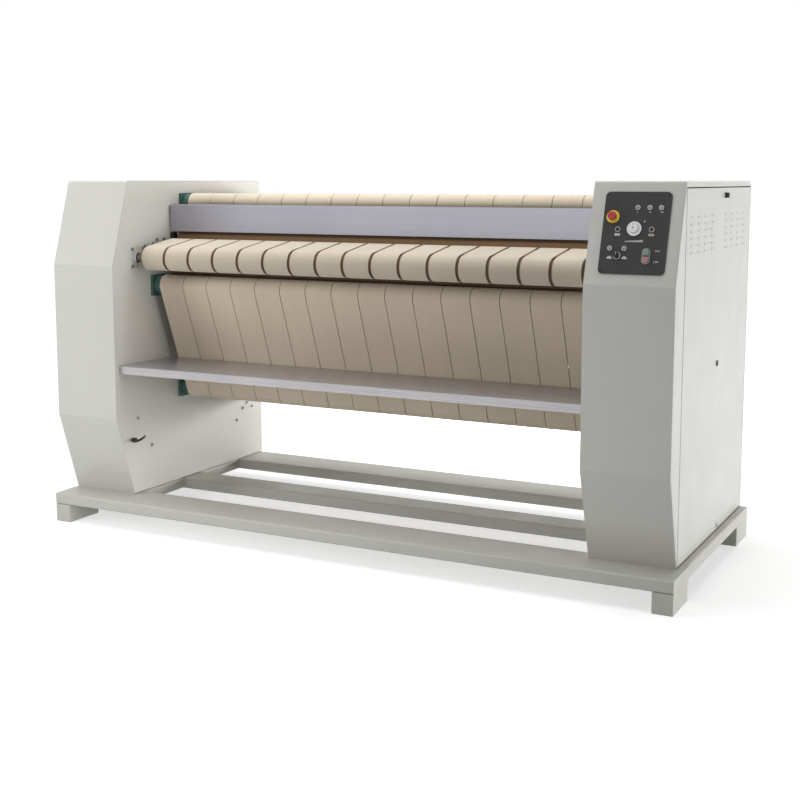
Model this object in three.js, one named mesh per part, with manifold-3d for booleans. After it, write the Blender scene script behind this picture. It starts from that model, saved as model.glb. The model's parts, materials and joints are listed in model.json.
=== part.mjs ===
/**
 * Flatwork ironer with a heated cylinder.
 *
 * Feed belts carry damp linen under a finger guard and on to the cylinder. Ironing belts hold it
 * against the back of the cylinder and bring it round, out below the feed belts and down to a tray.
 *
 * Millimetres. X runs along the rolls, left to right as the operator sees them. The operator stands
 * on the -Y side. Z = 0 is the floor, and the origin is the middle of the footprint.
 */
import * as THREE from "three";
import { mergeVertices } from "three/addons/utils/BufferGeometryUtils.js";
import Module from "manifold-3d";

const wasm = await Module();
wasm.setup();

// ---------------------------------------------------------------- driving dimensions

const GAP = 0.3; // left between pieces that touch
const SHEET = 2.5; // folded covers, panels and the tray
const PAST = 5; // how far a cutting tool runs past the face that it cuts
const MERGE = 1e-3; // vertices closer than this are one

const BASE = { halfLength: 1428, halfDepth: 595, beamHeight: 50, wall: 3, bend: 8, drain: 10 };
const RAIL_DEPTH = 215;
const MIDDLE_RAIL = { front: -90, rear: 55 };
const FOOT = { length: 80, depth: 195, height: 80 };

const CABINET = {
  bottom: FOOT.height + BASE.beamHeight + GAP,
  lowerBend: 490,
  upperBend: 1170,
  top: 1540,
  front: -565,
  lip: -450,
  rear: BASE.halfDepth,
  bend: 14,
  rearRound: 20,
  edgeRound: 6,
};
const SIDES = [
  { name: "left", inner: -1090, outer: -1424, way: -1 },
  { name: "right", inner: 1060, outer: 1398, way: 1 },
];
const PLATE = { thickness: 10, footFlange: 60, flangeInset: 20 };
const SIDE_PANEL = { front: -440, rear: 576, bottom: 134, top: 1514, seam: 7, fold: 18 };
const REAR_PANEL_TOP = 1476;
const LOUVRE = { length: 52, height: 7, pitchY: 102, pitchZ: 26, columns: 4, rows: 6, topZ: 1411 };
const LOUVRE_GROUPS = [-356, 168]; // first column of each group, in Y
const LOCKS = [
  { name: "top", y: 135, z: 1484 },
  { name: "middle", y: 74, z: 826 },
  { name: "bottom", y: 150, z: 156 },
];
const LOCK = { head: 12, headHeight: 3, slot: 1.5, grip: 20, gripHeight: 11, shank: 5, hole: 6, depth: 16 };
const LOCK_TONGUE = { length: 34, halfWidth: 6, thickness: 3 };

const ROLL_CENTRE = (SIDES[0].inner + SIDES[1].inner) / 2;
const ROLL_SPAN = SIDES[1].inner - SIDES[0].inner;
const CYLINDER = { y: 42, z: 1140, radius: 250, wall: 8, end: 15, journal: 45, bore: 22, clear: 50 };
const ROLLER = { radius: 45, wall: 5, end: 8, journal: 15, bore: 5, clear: 15 };
const ROLLERS = [
  { name: "top_front_roller", y: -30, z: 1435, housed: true },
  { name: "lower_front_roller", y: -254, z: 1068, housed: true },
  { name: "bottom_front_roller", y: -66, z: 577, housed: true },
  { name: "bottom_rear_roller", y: 460, z: 485, flange: 104 },
  { name: "top_rear_roller", y: 480, z: 1420, flange: 104 },
];
const FEED_ROLLERS = [
  { name: "feed_front_roller", y: -390, z: 1199, radius: 50, flange: 104 },
  { name: "feed_rear_roller", y: -225, z: 1250, radius: 24 },
];
const BELT = { thickness: 4, slack: 1, lift: 2, total: 2050, sagitta: 0.9 };
const FEED_BELT = { count: 16, pitch: 128, gap: 14, from: -1025, slack: 2.6, sagitta: 2.4 };
const FEED_BED = { thickness: 4, frontClear: 30, rearClear: 22, sink: 0.6 };

const HEATER = { tube: 20, rod: 10, rods: 6, ring: 150, disc: 172, thickness: 4, halfSpan: 940 };
const BRIDGE = { standOff: 65, thickness: 6, arm: 8, halfWidth: 20, clear: 6 };

const BEARING = { flange: 76, plate: 8, hub: 30, depth: 24, clear: 0.5 };
const HOUSING = { side: 96, depth: 14 }; // of a housed roller, on the inner face of a frame plate
const MAIN_BEARING = { flange: 170, plate: 14, hub: 72, depth: 36, clear: 0.7 };

const GUARD = { front: -158, thickness: 3, bottom: 1309, top: 1433, fold: 30, endClear: 12 };
const GUARD_PIVOT = { y: -150, z: 1424, radius: 5, bore: 5.7, gusset: 30, past: 4 };
const SWITCH = { width: 18, front: -150, rear: -118, bottom: 1276, top: 1303 };
const SWITCH_LEVER = { from: 13, width: 4, front: -144.4, rear: -142.6, bottom: 1290, top: 1322 };
const TRAY = { front: -540, rear: -186, top: 728, lip: 35, rearFold: 15, bend: 4, endClear: 1.5 };
const TRAY_END = { flange: 40, inset: 40 };
const LEVER = { y: -416, z: 474, reach: 103, sweep: 55, slotWidth: 12, halfWidth: 12, thickness: 8 };
const LEVER_PIN = { radius: 5, cap: 11, capFrom: 4, capTo: 26 };

const DRIVE = { pitch: 31.75, planeX: 1122.5, tooth: 9 };
const MOTOR_SHAFT = { y: CYLINDER.y, z: 750 };
const CYLINDER_TEETH = 24;
const MOTOR_TEETH = 12;
const TOOTH_HEIGHT = 7; // above the pitch circle
const TOOTH_ROOT = 8; // below it
const CHAIN = { plate: 3, inside: 11, half: 13, waist: 9.5, roller: 8, sagitta: 0.2 };
const MOTOR = { foot: 260, footPlate: 8, spacer: 10, inset: 12, flangeX: 1150, flange: 10, endX: 1290 };
const MOTOR_BODY = { half: 95, barrel: 72, length: 270 };
const MOTOR_SLEEVE = { bore: 15, depth: 60, shaft: 14, shaftFrom: -18, shaftTo: 80 };
const ELECTRICAL_BOX = { width: 130, front: -420, rear: -240, bottom: 690, top: 990 };

const FASCIA = { left: 1109, right: 1352, bottom: 42, top: 346, corner: 18, thickness: 3, margin: 15 };
const FACE = FASCIA.thickness + GAP; // height of the fascia's face above the cover
const SEAT = FACE + GAP; // where a control rests on it
const BEHIND = -24; // how deep a shank reaches behind the cover

// Places on the console: x in the ironer's frame, y up the slanted facet from its lower bend.
const ESTOP = { x: 1144.5, y: 252, collar: 23.5, collarHeight: 6, head: 16, shank: 8, travel: 5 };
const DIAL = { x: 1227, y: 209, radius: 27, knob: 19, shank: 4 };
const SMALL_BUTTONS = [
  { name: "cooler_button", x: 1166.5, y: 206.5 },
  { name: "hotter_button", x: 1291, y: 207 },
];
const SMALL_BUTTON = { cap: 6.5, ring: 10, shank: 4, travel: 3 };
const LAMPS = [
  { name: "lamp_power", x: 1232.5, y: 287 },
  { name: "lamp_heating", x: 1276.5, y: 287 },
  { name: "lamp_ready", x: 1318, y: 287 },
  { name: "lamp_slow", x: 1145, y: 136 },
  { name: "lamp_fast", x: 1198.5, y: 136 },
];
const LAMP = { radius: 9.5, lens: 6.5, shank: 6 };
const SELECTOR = { x: 1174, y: 109, radius: 14, bore: 8, shank: 7, handle: 26, halfHandle: 4 };
const TWIN = { x: 1281.5, y: 108.5, width: 30, height: 58, bezel: 5, cap: 20, split: 2, travel: 4 };
const TWIN_STEM = { radius: 5, y: 12 };
const FIT = 0.7; // clearance of a shank in its hole

// ---------------------------------------------------------------- shapes

const V2 = (u, v) => new THREE.Vector2(u, v);
const UPRIGHT_TO_X = new THREE.Matrix4().makeBasis(
  new THREE.Vector3(0, 1, 0),
  new THREE.Vector3(0, 0, 1),
  new THREE.Vector3(1, 0, 0),
);

/** A closed outline from corners [u, v, radius], where a corner with a radius becomes an arc. */
function outline(corners, arcSteps = 3) {
  const points = [];
  corners.forEach(([u, v, radius = 0], i) => {
    const corner = V2(u, v);
    if (!radius) {
      points.push(corner);
      return;
    }
    const [before, after] = [corners.length - 1, 1].map((step) => {
      const [a, b] = corners[(i + step) % corners.length];
      return V2(a, b).sub(corner).normalize();
    });
    const half = before.angleTo(after) / 2;
    const centre = before.clone().add(after).setLength(radius / Math.sin(half)).add(corner);
    const start = before.multiplyScalar(radius / Math.tan(half)).add(corner).sub(centre);
    const end = after.multiplyScalar(radius / Math.tan(half)).add(corner).sub(centre);
    const sweep = Math.atan2(start.cross(end), start.dot(end));
    for (let k = 0; k <= arcSteps; k++) {
      points.push(start.clone().rotateAround(V2(0, 0), (sweep * k) / arcSteps).add(centre));
    }
  });
  return points;
}

/** The outline moved inwards, or outwards by a negative distance. It runs anticlockwise. */
function inset(points, distance) {
  const inward = (edge) => V2(-edge.y, edge.x);
  return points.map((point, i) => {
    const before = point.clone().sub(points.at(i - 1)).normalize();
    const after = points[(i + 1) % points.length].clone().sub(point).normalize();
    const bisector = inward(before).add(inward(after));
    return point.clone().addScaledVector(bisector, (2 * distance) / bisector.lengthSq());
  });
}

/** A circle as points. */
function circle(u, v, radius, steps = 12) {
  return Array.from({ length: steps }, (_, k) => {
    const angle = (2 * Math.PI * (k + 0.5)) / steps;
    return V2(u + radius * Math.cos(angle), v + radius * Math.sin(angle));
  });
}

/** A round hole as points, whose flats are no nearer to its centre than the radius. */
function hole(u, v, radius, steps = 8) {
  return circle(u, v, radius / Math.cos(Math.PI / steps), steps);
}

/** An outline extruded along +Z, from one height to another. */
function slab(points, from, to, holes = []) {
  const shape = new THREE.Shape(points);
  shape.holes = holes.map((points) => new THREE.Path(points));
  const geometry = new THREE.ExtrudeGeometry(shape, { depth: to - from, bevelEnabled: false });
  return geometry.translate(0, 0, from);
}

/** An outline in the Y-Z plane, extruded along X between two places given in either order. */
function prism(points, xa, xb, holes = []) {
  return slab(points, Math.min(xa, xb), Math.max(xa, xb), holes).applyMatrix4(UPRIGHT_TO_X);
}

/** A box between two opposite corners. */
function box(xa, xb, ya, yb, za, zb) {
  const geometry = new THREE.BoxGeometry(Math.abs(xb - xa), Math.abs(yb - ya), Math.abs(zb - za));
  return geometry.translate((xa + xb) / 2, (ya + yb) / 2, (za + zb) / 2);
}

/** A round bar along X. */
function bar(radius, xa, xb, y = 0, z = 0, steps = 12) {
  return prism(circle(y, z, radius, steps), xa, xb);
}

/** A revolve about Z from [radius, height] pairs that run upwards outside. */
function turned(profile, steps = 12) {
  const points = profile.map(([radius, height]) => V2(radius, height));
  return new THREE.LatheGeometry(points, steps).rotateX(Math.PI / 2);
}

/** A ring-like revolve: the profile closes on itself and never meets the axis. */
function ring(profile, steps = 12) {
  return turned([...profile, profile[0]], steps);
}

/** A closed geometry as a solid for joining and cutting. */
function solid(shape) {
  if (!shape.isBufferGeometry) return shape;
  const bare = shape.clone().deleteAttribute("normal").deleteAttribute("uv");
  const merged = mergeVertices(bare, MERGE);
  return new wasm.Manifold(
    new wasm.Mesh({
      numProp: 3,
      vertProperties: merged.attributes.position.array,
      triVerts: Uint32Array.from(merged.index.array),
    }),
  );
}

const join = (...shapes) => shapes.map(solid).reduce((a, b) => a.add(b));
const cut = (shape, ...tools) => tools.map(solid).reduce((a, b) => a.subtract(b), solid(shape));

/** A solid's surface as a flat-shaded geometry. */
function skin(made) {
  const mesh = made.getMesh();
  const geometry = new THREE.BufferGeometry()
    .setAttribute("position", new THREE.BufferAttribute(mesh.vertProperties, 3))
    .setIndex(new THREE.BufferAttribute(mesh.triVerts, 1))
    .toNonIndexed();
  geometry.computeVertexNormals();
  return geometry;
}

/**
 * A loop round pulleys { y, z, radius, turn } as points. turn is 1 where the loop holds the pulley
 * and -1 where it passes round the pulley's outside. `out` moves the loop away from those it holds,
 * and no chord of an arc cuts in by more than the sagitta.
 */
function loop(pulleys, out, sagitta) {
  const legs = pulleys.map((from, i) => directionOf(from, pulleys[(i + 1) % pulleys.length]));
  return pulleys.flatMap(({ y, z, radius, turn }, i) => {
    const start = legs.at(i - 1);
    const full = turn * 2 * Math.PI;
    const sweep = (((legs[i] - start) % full) + full) % full;
    const steps = Math.ceil(Math.abs(sweep) / (2 * Math.acos(1 - sagitta / radius)));
    const reach = turn * radius + out;
    return Array.from({ length: steps + 1 }, (_, k) => {
      const heading = start + (sweep * k) / steps;
      return V2(y + reach * Math.sin(heading), z - reach * Math.cos(heading));
    });
  });
}

/** The heading of the straight run between two pulleys of a loop. */
function directionOf(from, to) {
  const between = V2(to.y - from.y, to.z - from.z);
  const difference = to.turn * to.radius - from.turn * from.radius;
  return Math.atan2(between.y, between.x) - Math.asin(difference / between.length());
}

// ---------------------------------------------------------------- the assembly

const FINISHES = {
  paint: { color: 0xc9c8c2, roughness: 0.45, metalness: 0.1 },
  stainless: { color: 0xa9a8b4, roughness: 0.28, metalness: 0.9 },
  steel: { color: 0x8d8f92, roughness: 0.4, metalness: 0.9 },
  greenPaint: { color: 0x35524a, roughness: 0.5, metalness: 0.2 },
  brownRubber: { color: 0x3f2d1e, roughness: 0.8, metalness: 0 },
  belt: { color: 0xbcb09c, roughness: 0.95, metalness: 0 },
  fascia: { color: 0x434343, roughness: 0.6, metalness: 0 },
  blackPlastic: { color: 0x1b1b1b, roughness: 0.5, metalness: 0 },
  chrome: { color: 0xc8c8c8, roughness: 0.15, metalness: 1 },
  silver: { color: 0xb4b4b4, roughness: 0.3, metalness: 0.8 },
  lens: { color: 0xb9b9b6, roughness: 0.2, metalness: 0 },
  yellow: { color: 0xe6cf5a, roughness: 0.45, metalness: 0 },
  red: { color: 0xa33436, roughness: 0.35, metalness: 0 },
  green: { color: 0x6f8a76, roughness: 0.35, metalness: 0 },
  motorGrey: { color: 0x5d6468, roughness: 0.5, metalness: 0.3 },
};

const ironer = new THREE.Group();

/** Puts one named piece in the assembly, at rest at `place` in its group. */
function add(name, shape, finish, place = [0, 0, 0], group = ironer) {
  const geometry = shape.isBufferGeometry ? shape : skin(shape);
  const mesh = new THREE.Mesh(geometry, new THREE.MeshStandardMaterial(FINISHES[finish]));
  mesh.name = name;
  mesh.position.set(...place);
  group.add(mesh);
  return mesh;
}

// ---------------------------------------------------------------- base

/** A closed folded beam with a drain hole in its right end. */
function beam(xa, xb, ya, yb) {
  const [low, high] = [FOOT.height, FOOT.height + BASE.beamHeight];
  const { wall, bend } = BASE;
  const corners = [[ya, low, bend], [yb, low, bend], [yb, high, bend], [ya, high, bend]];
  const inside = box(xa + wall, xb - wall, ya + wall, yb - wall, low + wall, high - wall);
  const drain = bar(BASE.drain, xb - wall - 1, xb + PAST, (ya + yb) / 2, (low + high) / 2, 8);
  return cut(prism(outline(corners, 2), xa, xb), join(inside, drain));
}

function addBase() {
  const { halfLength, halfDepth } = BASE;
  const inner = halfDepth - RAIL_DEPTH;
  add("base_front_rail", beam(-halfLength, halfLength, -halfDepth, -inner), "paint");
  add("base_rear_rail", beam(-halfLength, halfLength, inner, halfDepth), "paint");
  for (const { name, inner: face, way } of SIDES) {
    const [xa, xb] = [face, way * halfLength].sort((a, b) => a - b);
    add(`base_${name}_end`, beam(xa, xb, GAP - inner, inner - GAP), "paint");
    for (const [row, wayY] of [["front", -1], ["rear", 1]]) {
      const x = way * (halfLength - FOOT.length);
      const y = wayY * (halfDepth - FOOT.depth);
      const foot = box(x, way * halfLength, y, wayY * halfDepth, 0, FOOT.height - GAP);
      add(`base_foot_${row}_${name}`, foot, "paint");
    }
  }
  const middle = beam(SIDES[0].inner + GAP, SIDES[1].inner - GAP, MIDDLE_RAIL.front, MIDDLE_RAIL.rear);
  add("base_middle_rail", middle, "paint");
}

// ---------------------------------------------------------------- cabinets

/** The cabinet seen from its end: three facets in front, flat top, rounded rear edge. */
const PROFILE = outline([
  [CABINET.lip, CABINET.bottom],
  [CABINET.rear, CABINET.bottom],
  [CABINET.rear, CABINET.top, CABINET.rearRound],
  [CABINET.lip, CABINET.top, CABINET.bend],
  [CABINET.front, CABINET.upperBend, CABINET.bend],
  [CABINET.front, CABINET.lowerBend, CABINET.bend],
]);

/**
 * A bearing on a frame plate: a hub on its cabinet side, held by a square flange there or, for a
 * housed roller, by a square housing on the plate's inner face.
 */
function bearing({ inner, way }, { y, z, housed, flange = BEARING.flange }, size = BEARING) {
  const face = inner + way * PLATE.thickness;
  const half = (housed ? HOUSING.side : flange) / 2;
  const [from, to] = housed
    ? [inner - way * HOUSING.depth, inner + way]
    : [face - way, face + way * size.plate];
  const square = box(from, to, y - half, y + half, z - half, z + half);
  return join(square, bar(size.hub, face - way, face + way * size.depth, y, z, 8));
}

/** The points of an arc slot that a pin at the lever's reach runs in. */
function arcSlot({ y, z, reach, sweep, slotWidth }, steps = 6) {
  const half = slotWidth / 2;
  const [start, end] = [-90 - sweep / 2, -90 + sweep / 2].map(THREE.MathUtils.degToRad);
  const spare = half / reach; // room for the pin at each end
  const arc = (radius) =>
    Array.from({ length: steps + 1 }, (_, k) => {
      const angle = start - spare + ((end - start + 2 * spare) * k) / steps;
      return V2(y + radius * Math.cos(angle), z + radius * Math.sin(angle));
    });
  return [...arc(reach + half), ...arc(reach - half).reverse()];
}

function framePlate(side) {
  const { inner, way, name } = side;
  const face = inner + way * PLATE.thickness;
  const plate = prism(inset(PROFILE, SHEET + GAP), inner, face);
  const floor = CABINET.bottom + SHEET + GAP;
  const flange = box(
    face - way,
    face + way * PLATE.footFlange,
    CABINET.lip + PLATE.flangeInset,
    CABINET.rear - PLATE.flangeInset,
    floor,
    floor + PLATE.thickness,
  );
  const rollers = [...ROLLERS, ...FEED_ROLLERS];
  const bearings = rollers.map((roller) => bearing(side, roller));
  const main = bearing(side, { ...CYLINDER, flange: MAIN_BEARING.flange }, MAIN_BEARING);
  const body = join(plate, flange, main, ...bearings);
  const [from, to] = [inner - way * (HOUSING.depth + PAST), inner + way * PLATE.footFlange];
  const bores = rollers.map(({ y, z }) => prism(hole(y, z, ROLLER.journal + BEARING.clear), from, to));
  bores.push(prism(hole(CYLINDER.y, CYLINDER.z, CYLINDER.journal + MAIN_BEARING.clear, 16), from, to));
  bores.push(prism(hole(GUARD_PIVOT.y, GUARD_PIVOT.z, GUARD_PIVOT.bore), from, to));
  if (name === "left") bores.push(prism(arcSlot(LEVER), from, to));
  return cut(body, ...bores);
}

/** The folded cover: facets, top, rounded rear edge and the front strip of the outer side. */
function cover({ inner, outer, way, name }) {
  const round = CABINET.edgeRound;
  const shell = new THREE.ExtrudeGeometry(new THREE.Shape(inset(PROFILE, round)), {
    depth: Math.abs(outer - inner),
    bevelSize: round,
    bevelThickness: round,
    bevelSegments: 2,
  });
  shell.translate(0, 0, way > 0 ? inner - round : outer + round).applyMatrix4(UPRIGHT_TO_X);
  const beyond = inner - way * 2 * round;
  const trim = box(beyond - way * PAST, inner, -1000, 1000, 0, 2000);
  const hollow = prism(inset(PROFILE, SHEET), beyond, outer - way * SHEET);
  const [lip, behind] = [CABINET.lip, 2 * CABINET.rear];
  const openBottom = box(beyond, outer - way * SHEET, lip, CABINET.rear - SHEET, 0, CABINET.bottom + PAST);
  const front = SIDE_PANEL.front - SIDE_PANEL.seam;
  const top = SIDE_PANEL.top + SIDE_PANEL.seam / 2;
  const sideWindow = box(outer - way * 3 * round, outer + way * PAST, front, behind, 0, top);
  const rearTop = REAR_PANEL_TOP + GAP;
  const rearWindow = box(beyond, outer + way * PAST, CABINET.rear - round, behind, 0, rearTop);
  const made = cut(shell, trim, hollow, openBottom, sideWindow, rearWindow);
  return name === "right" ? cut(made, consoleWindow()) : made;
}

/** A louvred or plain pan on the cabinet's outer side: a flat sheet with its edges folded in. */
function sidePanel({ outer, way, name }) {
  const { front, rear, bottom, top, fold } = SIDE_PANEL;
  const block = box(outer, outer - way * fold, front, rear, bottom, top);
  const inside = box(
    outer - way * SHEET,
    outer - way * (fold + PAST),
    front + SHEET,
    rear - SHEET,
    bottom + SHEET,
    top - SHEET,
  );
  const [from, to] = [outer + way, outer - way * 2 * SHEET];
  const lockHoles = LOCKS.map(({ y, z }) => prism(hole(y, z, LOCK.hole), from, to));
  const vents = name === "right" ? louvreSlots(from, to) : [];
  return cut(block, inside, ...lockHoles, ...vents);
}

/** The two groups of louvre slots, as tools that run from one X to another. */
function louvreSlots(from, to) {
  const { length, height, pitchY, pitchZ, columns, rows, topZ } = LOUVRE;
  return LOUVRE_GROUPS.flatMap((firstY) =>
    Array.from({ length: columns * rows }, (_, k) => {
      const y = firstY + pitchY * (k % columns);
      const z = topZ - pitchZ * Math.floor(k / columns);
      return box(from, to, y - length / 2, y + length / 2, z - height / 2, z + height / 2);
    }),
  );
}

/** The plain pan that closes the back of a cabinet. */
function rearPanel({ inner, outer, way }) {
  const { rear } = CABINET;
  const near = inner + way * (PLATE.thickness + SHEET);
  const far = outer - way * GAP;
  const bottom = CABINET.bottom + 3;
  const block = box(near, far, rear - SIDE_PANEL.fold, rear, bottom, REAR_PANEL_TOP);
  const inside = box(
    near + way * SHEET,
    far - way * SHEET,
    rear - SIDE_PANEL.fold - PAST,
    rear - SHEET,
    bottom + SHEET,
    REAR_PANEL_TOP - SHEET,
  );
  return cut(block, inside);
}

/** A quarter-turn lock about X: a slotted head or a square grip outside, a tongue inside. */
function lock(hasGrip) {
  const { head, headHeight, slot, grip, gripHeight, shank, depth } = LOCK;
  const top = GAP + headHeight;
  const rod = bar(shank, -depth, GAP + 1, 0, 0, 4);
  const { length, halfWidth, thickness } = LOCK_TONGUE;
  const tongue = box(-depth, thickness - depth, -halfWidth, length, -halfWidth, halfWidth);
  const body = join(bar(head, GAP, top, 0, 0, 10), rod, tongue);
  return hasGrip
    ? join(body, box(GAP, top + gripHeight, -grip / 2, grip / 2, -grip / 2, grip / 2))
    : cut(body, box(top - slot, top + PAST, -head, head, -slot, slot));
}

function addCabinets() {
  for (const side of SIDES) {
    const { name, outer, way } = side;
    add(`${name}_frame_plate`, framePlate(side), "paint");
    add(`${name}_cover`, cover(side), "paint");
    add(`${name}_side_panel`, sidePanel(side), "paint");
    add(`${name}_rear_panel`, rearPanel(side), "paint");
    for (const place of LOCKS) {
      const finish = place.name === "bottom" ? "chrome" : "blackPlastic";
      const made = lock(name === "right" && place.name === "top");
      const mesh = add(`${name}_lock_${place.name}`, made, finish, [outer, place.y, place.z]);
      mesh.rotation.z = way > 0 ? 0 : Math.PI;
    }
  }
}

// ---------------------------------------------------------------- rolls

/** A hollow roll about X, centred on its own middle, with bored journals at both ends. */
function roll({ radius, wall, end, journal, bore }, faceLength, journalEnds, steps) {
  const half = faceLength / 2;
  const [left, right] = journalEnds;
  const profile = [
    [bore, -left],
    [journal, -left],
    [journal, -half],
    [radius, -half],
    [radius, half],
    [journal, half],
    [journal, right],
    [bore, right],
    [bore, half - end],
    [radius - wall, half - end],
    [radius - wall, end - half],
    [bore, end - half],
  ];
  return ring(profile, steps).rotateY(Math.PI / 2);
}

function addRolls() {
  const journalEnd = ROLL_SPAN / 2 + PLATE.thickness + BEARING.depth + 2;
  const faceLength = ROLL_SPAN - 2 * ROLLER.clear;
  for (const { name, y, z } of ROLLERS) {
    const made = roll(ROLLER, faceLength, [journalEnd, journalEnd], 10);
    add(name, made, "greenPaint", [ROLL_CENTRE, y, z]);
  }
  const feedLength = FEED_BELT.count * FEED_BELT.pitch + 2;
  for (const { name, y, z, radius } of FEED_ROLLERS) {
    const made = roll({ ...ROLLER, radius }, feedLength, [journalEnd, journalEnd], 10);
    add(name, made, "brownRubber", [ROLL_CENTRE, y, z]);
  }
  const shell = roll(
    CYLINDER,
    ROLL_SPAN - 2 * CYLINDER.clear,
    [ROLL_SPAN / 2 + PLATE.thickness + MAIN_BEARING.depth + 10, DRIVE.planeX + 16 - ROLL_CENTRE],
    32,
  );
  add("heated_cylinder", shell, "steel", [ROLL_CENTRE, CYLINDER.y, CYLINDER.z]);
}

/** Central tube with two discs that hold the rod elements, and the bridge that stops it turning. */
function addHeater() {
  const { tube, rod, rods, ring: reach, disc, thickness, halfSpan } = HEATER;
  const plateFace = SIDES[0].inner - PLATE.thickness - GAP;
  const leftEnd = plateFace - BRIDGE.standOff;
  const rightEnd = SIDES[1].inner + PLATE.footFlange; // lies in the bore of the right journal
  const pieces = [bar(tube, leftEnd, rightEnd, 0, 0, 8)];
  for (const way of [-1, 1]) {
    const x = ROLL_CENTRE + way * halfSpan;
    pieces.push(bar(disc, x, x + way * thickness, 0, 0, 8));
  }
  const [from, to] = [-1, 1].map((way) => ROLL_CENTRE + way * (halfSpan + thickness / 2));
  for (let k = 0; k < rods; k++) {
    const angle = (2 * Math.PI * k) / rods;
    pieces.push(bar(rod, from, to, reach * Math.cos(angle), reach * Math.sin(angle), 4));
  }
  const { thickness: bridge, arm, halfWidth, clear } = BRIDGE;
  const near = MAIN_BEARING.flange / 2 + clear;
  pieces.push(box(leftEnd, leftEnd + bridge, -near - arm, near + arm, -halfWidth, halfWidth));
  for (const way of [-1, 1]) {
    pieces.push(box(leftEnd, plateFace, way * near, way * (near + arm), -halfWidth, halfWidth));
  }
  add("heater_core", join(...pieces), "steel", [0, CYLINDER.y, CYLINDER.z]);
}

// ---------------------------------------------------------------- belts

/** The ironing belts' way: over the top rollers, round the cylinder's back, down the front. */
function ironingBelts() {
  const held = ROLLERS.map(({ y, z }) => ({ y, z, radius: ROLLER.radius + BELT.slack, turn: 1 }));
  const passed = {
    y: CYLINDER.y,
    z: CYLINDER.z,
    radius: CYLINDER.radius + BELT.lift + BELT.thickness,
    turn: -1,
  };
  const way = [held[0], passed, ...held.slice(1)];
  const [from, to] = [ROLL_CENTRE - BELT.total / 2, ROLL_CENTRE + BELT.total / 2];
  return prism(loop(way, BELT.thickness, BELT.sagitta), from, to, [loop(way, 0, BELT.sagitta)]);
}

/** Separate belts with real gaps, on the slider bed that carries their upper run. */
function feedBelts() {
  const [front, rear] = FEED_ROLLERS.map(({ y, z, radius }) => ({
    y,
    z,
    radius: radius + FEED_BELT.slack,
    turn: 1,
  }));
  const outside = loop([front, rear], BELT.thickness, FEED_BELT.sagitta);
  const inside = loop([front, rear], 0, FEED_BELT.sagitta);
  const belts = Array.from({ length: FEED_BELT.count }, (_, k) => {
    const from = FEED_BELT.from + k * FEED_BELT.pitch;
    return prism(outside, from, from + FEED_BELT.pitch - FEED_BELT.gap, [inside]);
  });
  const heading = directionOf(rear, front);
  const along = V2(Math.cos(heading), Math.sin(heading));
  const up = V2(Math.sin(heading), -Math.cos(heading));
  const rise = (pulley, above, forward) =>
    V2(pulley.y, pulley.z)
      .addScaledVector(up, pulley.radius + above)
      .addScaledVector(along, forward);
  const { thickness, frontClear, rearClear, sink } = FEED_BED;
  const bed = [
    rise(rear, sink, rearClear),
    rise(front, sink, -frontClear),
    rise(front, sink - thickness, -frontClear),
    rise(rear, sink - thickness, rearClear),
  ];
  const bedPlate = prism(bed, SIDES[0].inner + GAP, SIDES[1].inner - GAP);
  return join(bedPlate, ...belts);
}

function addBelts() {
  add("ironing_belts", ironingBelts(), "belt");
  add("feed_belts", feedBelts(), "belt");
}

// ---------------------------------------------------------------- guard, switch, tray and lever

/** The finger guard hangs from two pivot pins at its ends and swings in towards the cylinder. */
function addGuard() {
  const { front, thickness, bottom, top, fold, endClear } = GUARD;
  const [left, right] = [SIDES[0].inner + endClear, SIDES[1].inner - endClear];
  const back = front + thickness;
  const section = [
    [front, bottom],
    [back, bottom],
    [back, top - thickness],
    [back + fold, top - thickness],
    [back + fold, top],
    [front, top],
  ];
  const pieces = [prism(outline(section), left, right)];
  const { y, z, radius, gusset, past } = GUARD_PIVOT;
  for (const { inner, way } of SIDES) {
    const end = inner - way * endClear;
    pieces.push(box(end, end - way * thickness, back - 1, back + fold - 2, top - 1, top - gusset));
    pieces.push(bar(radius, end - way, inner + way * (PLATE.thickness + past), y, z, 8));
  }
  add("finger_guard", join(...pieces), "stainless");
}

/** The guard's limit switch on the left frame plate, with its spring lever. */
function addSwitch() {
  const x = SIDES[0].inner + GAP;
  const body = box(x, x + SWITCH.width, SWITCH.front, SWITCH.rear, SWITCH.bottom, SWITCH.top);
  const { from, width, front, rear, bottom, top } = SWITCH_LEVER;
  const lever = box(x + from, x + from + width, front, rear, bottom, top);
  add("guard_limit_switch", join(body, lever), "blackPlastic");
}

/** The receiving tray: folded lip in front, short fold behind, a flange down each end. */
function addTray() {
  const { front, rear, top, lip, rearFold, bend, endClear } = TRAY;
  const under = top - SHEET;
  const section = [
    [front, top - lip],
    [front + SHEET, top - lip],
    [front + SHEET, under],
    [rear - SHEET, under],
    [rear - SHEET, top - rearFold],
    [rear, top - rearFold],
    [rear, top],
    [front, top, bend],
  ];
  const ends = SIDES.map(({ inner, way }) => inner - way * endClear);
  const { flange, inset: margin } = TRAY_END;
  const flanges = SIDES.map(({ way }, k) =>
    box(ends[k], ends[k] - way * SHEET, front + margin, rear - margin, top - flange, under + 1),
  );
  add("tray", join(prism(outline(section, 2), ...ends), ...flanges), "stainless");
}

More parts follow.
